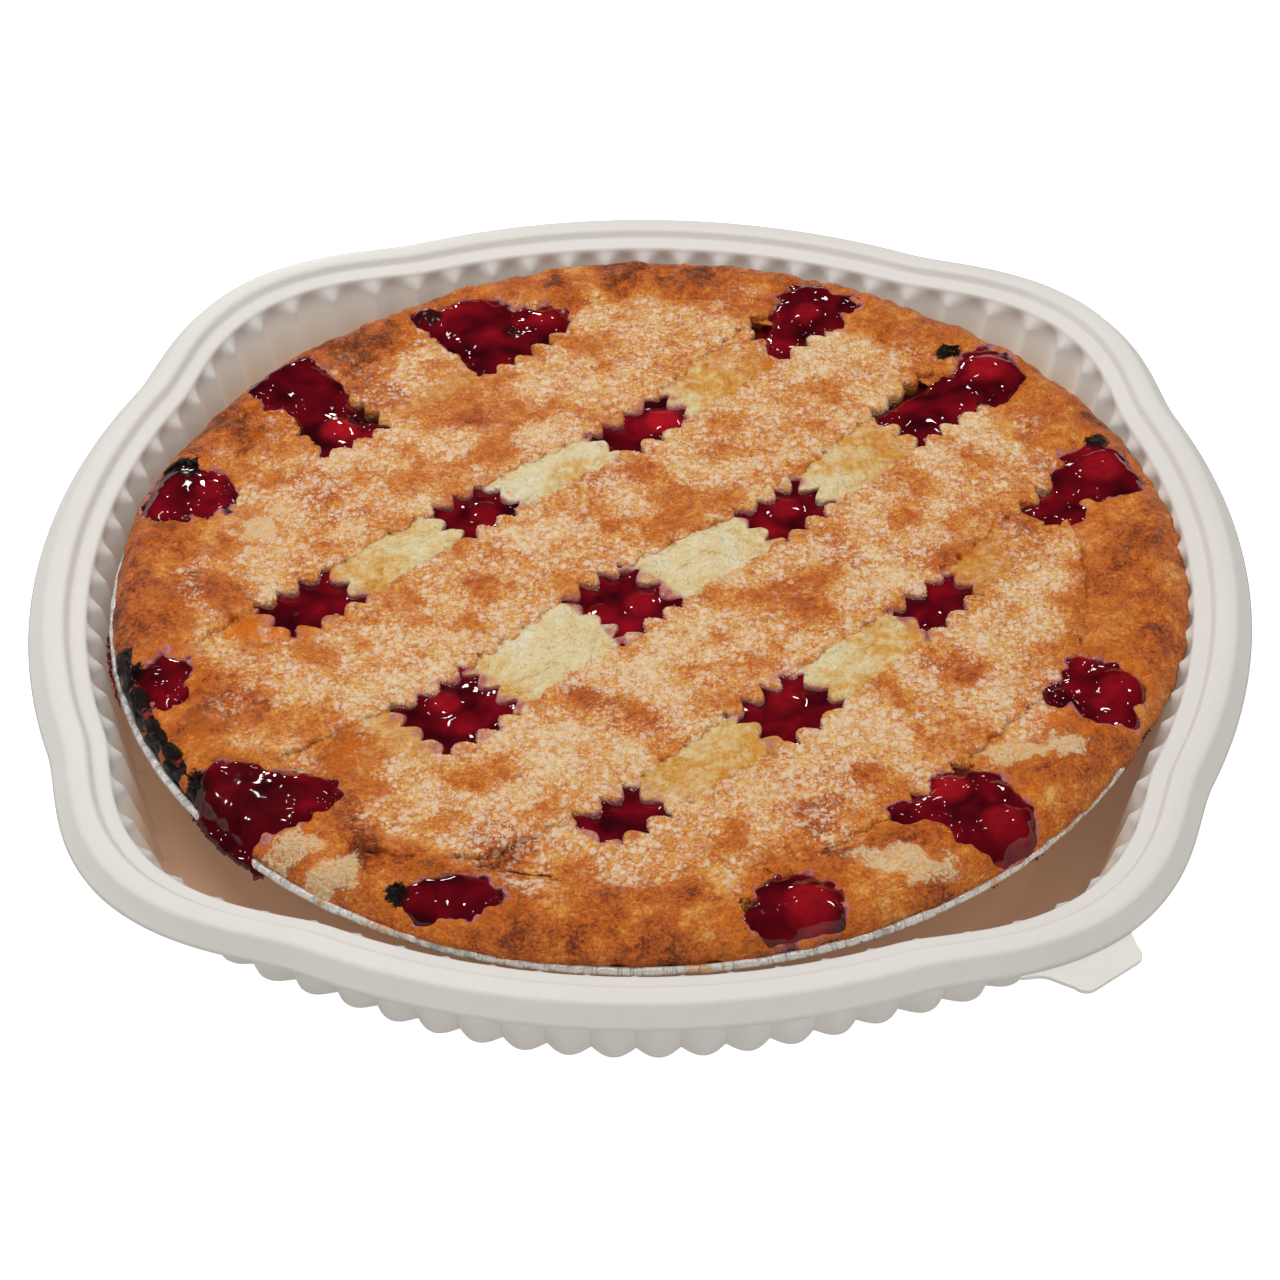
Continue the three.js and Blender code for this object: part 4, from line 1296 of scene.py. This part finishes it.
class PieColours(bpy.types.PropertyGroup):
    """Colours of the pastry, the filling, the tin and the tray."""

    pastry_cream: paint("Creamy pastry", "Sugared pastry, hardly browned", 240, 208, 148)
    pastry_light: paint("Light pastry", "Sugared pastry, lightly browned", 232, 180, 100)
    pastry_gold: paint("Golden pastry", "Pastry where it is golden", 224, 146, 58)
    pastry_orange: paint("Orange pastry", "Pastry where it is well baked", 208, 110, 28)
    pastry_brown: paint("Brown pastry", "Pastry where it is toasted", 180, 82, 22)
    crust_dark: paint("Dark crust", "Edge crust at its darkest", 116, 50, 18)
    pastry_pale: paint("Pale pastry", "Lower strips, hardly browned", 238, 226, 190)
    pastry_butter: paint("Butter pastry", "Lower strips, buttery", 232, 208, 150)
    pastry_curd: paint("Curds", "Pale lumps on the lower strips", 238, 214, 166)
    pastry_yellow: paint("Yellow pastry", "Lower strips, yellow", 224, 160, 60)
    stain_light: paint("Light stain", "Dough lightly stained by the filling", 214, 142, 132)
    soaked: paint("Soaked pastry", "Pastry soaked with syrup", 232, 118, 18)
    stained: paint("Stained pastry", "Dough stained by the filling", 170, 72, 80)
    sugar_white: paint("Sugar", "Baked sugar where it is thick", 244, 224, 196)
    sugar_shade: paint("Sugar shade", "Baked sugar where it is thin", 222, 186, 142)
    gel_dark: paint("Gel, deep", "Filling where it is deep", 50, 5, 12)
    gel_middle: paint("Gel", "Filling of middling depth", 92, 8, 18)
    gel_clear: paint("Gel, thin", "Filling where it is thin", 136, 14, 28)
    cherry: paint("Cherry", "Cherries just under the gel", 172, 26, 32)
    burnt: paint("Burnt", "Filling and pastry that burnt", 16, 8, 7)
    syrup: paint("Syrup", "Boiled-over syrup where it is thin", 120, 24, 10)
    caramel: paint("Caramel", "Syrup baked onto the foil", 196, 134, 52)
    foil: paint("Foil", "Rolled aluminium foil", 246, 244, 238)
    foil_shade: paint("Foil shade", "Dull creases of the foil", 170, 166, 160)
    tray_cream: paint("Tray", "Cream plastic", 211, 208, 202)
    tray_shade: paint("Tray shade", "Cream plastic, slightly darker", 204, 200, 192)
    # Painted shade and bounce light from the crust beside the pie, and painted warm bounce light low
    # in the tray, which also colours faint specks.
    tray_painted_shade_and_bounce: paint("Tray beside the pie", "Cream plastic that the crust colours", 192, 132, 84)
    tray_painted_bounce_and_specks: paint("Tray floor", "Cream plastic low in the tray", 222, 186, 146)


# ---------------------------------------------------------------------------------------
# Operators


CAMERA_LENS = 100.65
CAMERA_AZIMUTH = np.radians(3.174)
CAMERA_ELEVATION = np.radians(41.917)
CAMERA_ROLL = np.radians(-0.622)
CAMERA_DISTANCE = 837.0
CAMERA_TARGET = (-0.22, -22.73, 30.5)
FLOOR_HALF = 2500.0
# Name, place, side length, power in watts, and whether only its reflection shows.
LIGHTS = (
    ("overhead", (-220, 200, 950), 800, 7.2, False),
    ("front fill", (420, -620, 520), 500, 0.8, False),
    ("glint above", (-60, 60, 900), 70, 0.6, True),
    ("glint high", (-260, 480, 720), 60, 0.3, True),
    ("glint back", (240, 700, 560), 60, 0.3, True),
    ("glint right", (640, 60, 460), 60, 0.4, True),
    ("glint left", (-620, -40, 420), 60, 0.4, True),
    ("glint behind", (-260, 900, 260), 80, 0.7, True),
)


class PIE_OT_stage(bpy.types.Operator):
    """Adds the floor, the lights, the surroundings and the camera"""

    bl_idname = "pie.stage"
    bl_label = "Stage"

    def execute(self, context):
        self.add_camera(context)
        self.add_floor()
        self.add_lights()
        self.set_world(context)
        context.scene.view_settings.view_transform = "Standard"
        context.scene.view_settings.look = "None"
        return {"FINISHED"}

    def add_camera(self, context):
        data = bpy.data.cameras.new("camera")
        data.lens = CAMERA_LENS
        data.sensor_width = 36
        data.clip_start = 0.05
        camera = add_object("camera", data)
        turn = Matrix.Rotation(CAMERA_AZIMUTH, 4, "Z")
        tilt = Matrix.Rotation(np.pi / 2 - CAMERA_ELEVATION, 4, "X")
        roll = Matrix.Rotation(CAMERA_ROLL, 4, "Z")
        back = Vector((0, -np.cos(CAMERA_ELEVATION), np.sin(CAMERA_ELEVATION)))
        place = turn @ ((Vector(CAMERA_TARGET) + CAMERA_DISTANCE * back) * MM)
        camera.matrix_world = Matrix.Translation(place) @ turn @ tilt @ roll
        context.scene.camera = camera

    def add_floor(self):
        across = np.linspace(-FLOOR_HALF, FLOOR_HALF, 3)
        x, y = np.meshgrid(across, across)
        points = np.stack([x.ravel(), y.ravel(), np.zeros(x.size)], -1)
        quads = [[first, first + 1, first + 4, first + 3] for first in (0, 1, 3, 4)]
        material, nodes, shader, place = new_material("floor")
        seen = nodes.add("ShaderNodeLightPath").outputs["Is Camera Ray"]
        clouds = nodes.noise(place, 2.0)
        paper = nodes.colour(clouds, (0.93, 0.93, 0.93), (0.95, 0.95, 0.95))
        nodes.put(shader.inputs["Base Color"], nodes.colour(seen, (0.72, 0.72, 0.71), paper))
        nodes.put(shader.inputs["Emission Color"], nodes.colour(seen, (0, 0, 0), (1, 1, 1)))
        shader.inputs["Roughness"].default_value = 1.0
        shader.inputs["Specular IOR Level"].default_value = 0.0
        shader.inputs["Emission Strength"].default_value = 0.8
        add_piece("floor", points, quads, material)

    def add_lights(self):
        for name, place, size, power, glint in LIGHTS:
            data = bpy.data.lights.new(name, "AREA")
            data.shape = "SQUARE"
            data.size = size * MM
            data.energy = power
            light = add_object(name, data)
            light.location = Vector(place) * MM
            light.rotation_euler = (-Vector(place)).to_track_quat("-Z", "Y").to_euler()
            light.visible_glossy = glint
            light.visible_diffuse = not glint

    def set_world(self, context):
        world = bpy.data.worlds.new("studio")
        world.use_nodes = True
        nodes = Nodes(world.node_tree)
        background = world.node_tree.nodes["Background"]
        seen = nodes.add("ShaderNodeLightPath").outputs["Is Camera Ray"]
        nodes.put(background.inputs["Color"], nodes.colour(seen, (0.56, 0.56, 0.57), (1, 1, 1)))
        world.cycles_visibility.glossy = False
        context.scene.world = world


TRAY_FLUTES = 80
COLUMNS_PER_FLUTE = 12
TRAY_WALL = 1.0
# The tray's upper surface from the lip's outer edge inwards, as stations of inset, further
# inset at the corners, height and flute depth: skirt, crest, step, ledge, fluted wall, foot.
TRAY_PROFILE = (
    (0.0, 0, 30.3, 0), (0.4, 0, 30.9, 0), (2.5, 0, 33.0, 0), (2.9, 0, 33.5, 0),
    (3.5, 0, 34.4, 0), (4.4, 0, 34.8, 0), (8.2, 0, 34.9, 0), (9.0, 0, 34.4, 0),
    (9.8, 0, 33.0, 0), (10.5, 0, 32.7, 0), (13.3, 0, 32.5, 0), (13.8, 0, 32.2, 0),
    (14.2, 0, 31.3, 0.2), (15.1, 0, 30.3, 1.2), (15.7, 0, 29.0, 1.9), (16.1, 0, 26.5, 2.0),
    (19.7, 5, 3.0, 1.8), (23.5, 5, 1.0, 0), (36.0, 4, 1.0, 0), (41.0, 4, 2.5, 0),
)
TRAY_FLOOR = ((60, 4, 2.5, 0), (100, 2, 2.5, 0), (170, 0, 2.5, 0))
TAB_ANGLE = np.radians(-49.3)
TAB_LIP = 156.6  # where the lip's edge crosses the tab
TAB_INNER, TAB_OUTER = -4.8, 4.4  # its ends, before its rounded corners
TAB_CORNER = 3.0
TAB_TOP, TAB_UNDERSIDE = 30.2, 29.2
# Half the tab's width, from its hollowed root to its tip.
TAB_HALVES = ((-4.6, 16.5), (-3.8, 15.0), (-2.6, 12.9), (-1.2, 11.7), (2.5, 10.1), (4.4, 9.2))


class PIE_OT_tray(bpy.types.Operator):
    """Builds the fluted tray by sweeping its profile, and adds its finger tab"""

    bl_idname = "pie.tray"
    bl_label = "Fluted tray"

    def execute(self, context):
        stations = np.concatenate([rounded_profile(TRAY_PROFILE, 0.5, 0.5), TRAY_FLOOR])
        carrier = grid_carrier("tray_carrier", TRAY_FLUTES * COLUMNS_PER_FLUTE, stations)
        material = tray_material(context.scene.pie_colours)
        tray = grow("fluted_tray", ring_tree(), {"Material": material}, carrier)
        thicken(tray, TRAY_WALL)
        stand_for(tray, "cream_plastic", "tray")
        self.add_tab(material)
        return {"FINISHED"}

    def add_tab(self, material):
        """The finger tab: a tongue of the lip with hollowed sides and round corners."""
        outwards = np.linspace(TAB_INNER, TAB_OUTER, 15)
        places, halves = zip(*TAB_HALVES)
        half = np.interp(outwards, places, halves)
        turn = np.linspace(0, np.pi / 2, 7)
        side = np.concatenate([half, halves[-1] - TAB_CORNER + TAB_CORNER * np.cos(turn)])
        far = np.concatenate([outwards, TAB_OUTER + 0.1 + TAB_CORNER * np.sin(turn)])
        across = np.concatenate([side, -side[::-1]])
        reach = TAB_LIP + np.concatenate([far, far[::-1]])
        x = reach * np.cos(TAB_ANGLE) - across * np.sin(TAB_ANGLE)
        y = reach * np.sin(TAB_ANGLE) + across * np.cos(TAB_ANGLE)
        count = len(x)
        levels = (TAB_TOP, TAB_UNDERSIDE)
        points = np.concatenate([np.stack([x, y, np.full(count, z)], -1) for z in levels])
        faces = [list(range(count))[::-1], [count + k for k in range(count)]]
        faces += [[k, (k + 1) % count, count + (k + 1) % count, count + k] for k in range(count)]
        tab = add_piece("finger_tab", points, faces, material)
        tab.data.shade_flat()
        stand_for(tab, "cream_plastic", "tray")


def thicken(piece, wall):
    """Gives a sheet its wall on its under side, and applies it."""
    modifier = piece.modifiers.new("wall", "SOLIDIFY")
    modifier.thickness = wall * MM
    modifier.offset = -1
    depsgraph = bpy.context.evaluated_depsgraph_get()
    sheet_points = len(piece.data.vertices)
    mesh = bpy.data.meshes.new_from_object(piece.evaluated_get(depsgraph))
    piece.modifiers.remove(modifier)
    piece.data = mesh
    hold(mesh, "upper_skin", np.arange(len(mesh.vertices)) < sheet_points)


TIN_RIM = 126.9
TIN_ROLL = 1.0
TIN_ROLL_Z = 28.3
TIN_WALL = 0.15
TIN_COLUMNS = 900
# The tin's side and floor, as stations of inset, 0, height and crimp depth.
TIN_PROFILE = (
    (2.9, 0, 27.2, 0.15), (4.5, 0, 26.0, 0.3), (15.0, 0, 14.0, 0.35), (26.0, 0, 3.1, 0.2),
    (30.0, 0, 2.85, 0), (60.0, 0, 2.85, 0), (TIN_RIM, 0, 2.85, 0),
)


class PIE_OT_tin(bpy.types.Operator):
    """Builds the foil tin with its rolled, crinkled rim"""

    bl_idname = "pie.tin"
    bl_label = "Foil tin"

    def execute(self, context):
        roll = [
            (TIN_ROLL - TIN_ROLL * np.cos(turn), 0, TIN_ROLL_Z + TIN_ROLL * np.sin(turn), 0)
            for turn in np.linspace(-0.9 * np.pi, 0.75 * np.pi, 14)
        ]

        def sunk(angle, height):
            """The rim is bent inwards where the crust hides it."""
            return 3.4 * swell_at(angle, 126, 50) * ease(20.0, 27.0, height)

        carrier = grid_carrier("tin_carrier", TIN_COLUMNS, (*roll, *TIN_PROFILE), sunk)
        values = {
            "Side Radius": TIN_RIM * MM, "Side Centre": 0.0,
            "Corner Radius": 0.0, "Corner Centre": 0.0, "Blend": 0.0,
            "Flutes": 150.0, "Crinkle": 0.0007, "Crinkle Size": 190.0,
            "Material": foil_material(context.scene.pie_colours),
        }
        tin = grow("rolled_foil_tin", bpy.data.node_groups["swept_ring"], values, carrier)
        thicken(tin, TIN_WALL)
        stand_for(tin, "foil", "foil_tin")
        return {"FINISHED"}


CRUST_AROUND, CRUST_ACROSS = 1150, 50
# The crust's side, as steps outwards and down from its edge.
CRUST_SIDE = ((0.25, -0.7), (0.2, -1.6), (-0.2, -2.8), (-4.0, -3.6), (-18.0, -3.8))


class PIE_OT_crust(bpy.types.Operator):
    """Builds the edge crust round the pie"""

    bl_idname = "pie.crust"
    bl_label = "Edge crust"

    def execute(self, context):
        angle = np.linspace(0, TURN, CRUST_AROUND, endpoint=False)[:, None]
        share = np.linspace(0, 1, CRUST_ACROSS)[None, :] ** 0.9
        outer = crust_outline(angle)
        reach = CRUST_INNER + (outer - CRUST_INNER) * share
        x, y = reach * np.cos(angle), reach * np.sin(angle)
        wander = 0.5 * lumps(x, y, 4.0, 81) * share ** 4
        x, y = x + wander * np.cos(angle), y + wander * np.sin(angle)
        relief = crust_relief(x, y) * ease(0.0, 0.35, share)
        tuck = 1.6 * (1 - ease(0.05, 0.32, share + 0.04 * lumps(x, y, 5.0, 82)))
        z = crust_level(x, y) + relief - tuck - pool_dip(x, y)
        fields = pastry_fields(x, y, "crust")
        rings = [np.stack([x, y, z], -1)]
        edge_radius, edge_z = np.hypot(x[:, -1:], y[:, -1:]), z[:, -1:]
        for outwards, drop in CRUST_SIDE:
            radius = edge_radius + outwards
            level = edge_z + drop
            rings.append(np.stack([radius * np.cos(angle), radius * np.sin(angle), level], -1))
        points = np.concatenate(rings, 1)
        fields = {
            name: np.concatenate([values] + [values[:, -1:]] * len(CRUST_SIDE), 1)
            for name, values in fields.items()
        }
        material = pastry_material(context.scene.pie_colours)
        faces = [face[::-1] for face in ring_faces(CRUST_AROUND, points.shape[1], True)]
        piece = add_piece("edge_crust", points.reshape(-1, 3), faces, material, fields)
        stand_for(piece, "edge_crust", "bottom_crust")
        return {"FINISHED"}


WINDOW_MARGIN = 5.5  # how far the gel runs on under the strips
POOL_MARGIN = 2.2
WINDOW_BOTTOM, DEEP_BOTTOM, POOL_BOTTOM = 28.0, 27.0, 27.6
DEEP_RADIUS = 106.0
DEEP_STEP = 1.8
WINDOW_SPAN = (-98, -104), (95, 80)
DEEP_SPAN = (-108, -108), (108, 108)
POOL_SPAN = (-132, -132), (132, 132)


class PIE_OT_filling(bpy.types.Operator):
    """Builds the set cherry filling in the windows and the pools at the rim"""

    bl_idname = "pie.filling"
    bl_label = "Cherry filling"

    def execute(self, context):
        material = gel_material(context.scene.pie_colours)
        step = context.scene.pie_sizes.gel_step / MM

        def in_window(x, y):
            u, v = to_lattice(x, y)
            return np.any([inside_gap(name, u, v) > -WINDOW_MARGIN for name in WINDOWS], axis=0)

        def windows_level(x, y):
            return np.max([window_level(x, y, name) for name in WINDOWS], axis=0)

        def fields_at(x, y):
            _, red = cherry_lift(x, y)
            return {"cherry": red, "burn": spread(x, y, BURNT)}

        def in_pool(x, y):
            depth, _ = all_pools(x, y)
            return (depth > -POOL_MARGIN) & (inside_edge(x, y) > -0.3)

        def under_lattice(x, y):
            return np.hypot(x, y) < DEEP_RADIUS

        def deep_level(x, y):
            level = filling_level(x, y) + 1.0 + 0.3 * lumps(x, y, 7.0, 51)
            return level - 0.5 * ease(98, 104, np.hypot(x, y))

        patches = (
            ("window_gel", step * 0.8, *WINDOW_SPAN, in_window, windows_level, WINDOW_BOTTOM),
            ("deep_gel", DEEP_STEP, *DEEP_SPAN, under_lattice, deep_level, DEEP_BOTTOM),
            ("pool_gel", step, *POOL_SPAN, in_pool, pool_level, POOL_BOTTOM),
        )
        for patch in patches:
            stand_for(height_patch(*patch, material, fields_at), "cherry_gel", "cherry_filling")
        return {"FINISHED"}


# Where a strip's points lie across its border, how far apart they are in its middle, and how
# many there are on its underside.
BORDER_POINTS = (0, 0.12, 0.3, 0.55, 0.9, 1.3, 1.8, 2.4)
CROSS_STEP = 0.62
UNDERSIDE_POINTS = 14
SHORTEST_REACH = 20.0


def add_strip(context, number, kind):
    """One strip of the lattice, its borders pinked and its ends sunk into the edge crust."""
    sizes = context.scene.pie_sizes
    upper = kind == "upper"
    groups = ROWS if upper else COLUMNS
    before, after = groups[number], groups[number + 1]
    low, high = edge(before, 0.0, 1, 0, False), edge(after, 0.0, 0, 0, False)
    width = high - low
    fine = np.array(BORDER_POINTS) / width
    middle = np.linspace(fine[-1], 1 - fine[-1], int(width / CROSS_STEP))[1:-1]
    across = np.concatenate([fine, middle, 1 - fine[::-1]])
    nominal = low + width * across
    reach = np.sqrt(np.maximum(STRIP_END ** 2 - nominal ** 2, SHORTEST_REACH ** 2))
    stations = int(2 * reach.max() / (sizes.station / MM))
    first = -reach
    tongue = upper and number == TONGUE_STRIP
    if tongue:
        first = TONGUE_CURVE * (nominal - TONGUE_MIDDLE) ** 2 - TONGUE_REACH
    along = mix(first[None, :], reach[None, :], np.linspace(0, 1, stations)[:, None])
    seed = (UPPER_SEED if upper else LOWER_SEED) + number * 4
    low_edge = edge(before, along, 1, seed)
    high_edge = edge(after, along, 0, seed + 2)
    cross = low_edge + (high_edge - low_edge) * across[None, :]
    x, y = from_lattice(along, cross) if upper else from_lattice(cross, along)
    inside = np.minimum(cross - low_edge, high_edge - cross)
    if tongue:
        inside = np.minimum(inside, along - first[None, :])
    radius = sizes.strip_round / MM * (1.0 if upper else 0.8)
    slope = np.clip(1 - inside / radius, 0, 1)
    rounding = radius * (1 - np.sqrt(np.clip(1 - slope ** 2, 0, 1)))
    level = upper_level if upper else lower_level
    sunk = 1.8 * ease(105.5, 109.3, np.hypot(x, y)) * (1 - spread(x, y, TONGUE, 0.1))
    z = level(x, y) - rounding - sunk
    bottom = np.minimum(filling_level(x, y) + (0.6 if upper else 0.2), z - 0.6)
    picks = np.linspace(len(across) - 1, 0, UNDERSIDE_POINTS).astype(int)
    top = np.stack([x, y, z], -1)
    under = np.stack([x, y, bottom], -1)[:, picks]
    points = np.concatenate([top, under], 1)
    fields = pastry_fields(x, y, kind)
    fields["stain_and_shade"] = np.maximum(fields["stain_and_shade"], seeped(x, y, z))
    fields = {
        name: np.concatenate([values, values[:, picks]], 1) for name, values in fields.items()
    }
    faces = ring_faces(stations, points.shape[1], False)
    if not upper:
        faces = [face[::-1] for face in faces]
    material = pastry_material(context.scene.pie_colours)
    name = f"{kind}_pastry_{number + 1}"
    piece = add_piece(name, points.reshape(-1, 3), faces, material, fields)
    slot = "sugared_pastry" if upper else "pale_pastry"
    stand_for(piece, slot, f"{kind}_strip_{number + 1}")


ROPE_POINTS = 60
# Name, first and last angle in degrees, distance outside the crust, height and thickness.
ROPES = (
    ("burnt_syrup", -164.0, -139.0, -2.2, 32.7, 2.4),
    ("run_syrup", -170.0, -158.0, 1.7, 27.9, 0.6),
)


class PIE_OT_syrup(bpy.types.Operator):
    """Lays the syrup that burnt and ran along the tin's rim"""

    bl_idname = "pie.syrup"
    bl_label = "Burnt syrup"

    def execute(self, context):
        tree = rope_tree()
        colours = context.scene.pie_colours
        materials = (burnt_material(colours), gel_material(colours))
        for rope, material in zip(ROPES, materials):
            name, first, last, outwards, height, thickness = rope
            turn = np.linspace(0, 1, ROPE_POINTS)
            angle = np.radians(first + (last - first) * turn)
            reach = crust_outline(angle) + outwards
            level = np.full(ROPE_POINTS, height)
            path = np.stack([reach * np.cos(angle), reach * np.sin(angle), level], -1)
            edges = [(k, k + 1) for k in range(ROPE_POINTS - 1)]
            mesh = bpy.data.meshes.new(name + "_path")
            mesh.from_pydata((path * MM).tolist(), edges, [])
            swelling = 0.75 + 0.35 * lumps(angle * 125, angle * 0, 5.0, 91)
            tapered = thickness * swelling * np.sqrt(np.sin(np.pi * np.clip(turn, 0.01, 0.99)))
            hold(mesh, "thickness", tapered * MM)
            stand_for(grow(name, tree, {"Material": material}, mesh), "cherry_gel")
        return {"FINISHED"}


class PIE_OT_lower_strips(bpy.types.Operator):
    """Builds the four lower strips of the lattice"""

    bl_idname = "pie.lower_strips"
    bl_label = "Lower strips"

    def execute(self, context):
        for number in range(len(COLUMNS) - 1):
            add_strip(context, number, "lower")
        return {"FINISHED"}


class PIE_OT_upper_strips(bpy.types.Operator):
    """Builds the four sugared upper strips of the lattice"""

    bl_idname = "pie.upper_strips"
    bl_label = "Upper strips"

    def execute(self, context):
        for number in range(len(ROWS) - 1):
            add_strip(context, number, "upper")
        return {"FINISHED"}


GRAINS_PER_SQUARE_METRE = 5000000.0
FIRST_GRAIN_SEED = 11


class PIE_OT_sugar(bpy.types.Operator):
    """Scatters sugar grains over the upper strips"""

    bl_idname = "pie.sugar"
    bl_label = "Sugar grains"

    def execute(self, context):
        tree = grains_tree()
        material = sugar_material(context.scene.pie_colours)
        values = {
            "Grain": context.scene.pie_sizes.sugar_grain, "Material": material,
            "Density": GRAINS_PER_SQUARE_METRE,
        }
        for number in range(len(ROWS) - 1):
            strip = bpy.data.objects[f"upper_pastry_{number + 1}"]
            values["Seed"] = FIRST_GRAIN_SEED + number
            grains = grow(f"sugar_grains_{number + 1}", tree, values, strip.data)
            stand_for(grains, "sugared_pastry")
        return {"FINISHED"}


class PIE_PT_panel(bpy.types.Panel):
    """Lists the pie's parts with their sizes and colours"""

    bl_idname = "PIE_PT_panel"
    bl_label = "Cherry Pie"
    bl_space_type = "VIEW_3D"
    bl_region_type = "UI"
    bl_category = "Pie"

    def draw(self, context):
        for operator in STEPS:
            self.layout.operator(operator.bl_idname)
        for group_name in ("pie_sizes", "pie_colours"):
            settings = getattr(context.scene, group_name)
            box = self.layout.box()
            for name in settings.__annotations__:
                box.prop(settings, name)


STEPS = (
    PIE_OT_stage,
    PIE_OT_tray,
    PIE_OT_tin,
    PIE_OT_crust,
    PIE_OT_filling,
    PIE_OT_syrup,
    PIE_OT_lower_strips,
    PIE_OT_upper_strips,
    PIE_OT_sugar,
)
CLASSES = (PieSizes, PieColours, *STEPS, PIE_PT_panel)


def register():
    for item in CLASSES:
        bpy.utils.register_class(item)
    bpy.types.Scene.pie_sizes = bpy.props.PointerProperty(type=PieSizes)
    bpy.types.Scene.pie_colours = bpy.props.PointerProperty(type=PieColours)


def unregister():
    del bpy.types.Scene.pie_sizes
    del bpy.types.Scene.pie_colours
    for item in reversed(CLASSES):
        bpy.utils.unregister_class(item)


def main():
    register()
    bpy.ops.pie.stage()
    bpy.ops.pie.tray()
    bpy.ops.pie.tin()
    bpy.ops.pie.crust()
    bpy.ops.pie.filling()
    bpy.ops.pie.syrup()
    bpy.ops.pie.lower_strips()
    bpy.ops.pie.upper_strips()
    bpy.ops.pie.sugar()


if __name__ == "__main__":
    main()
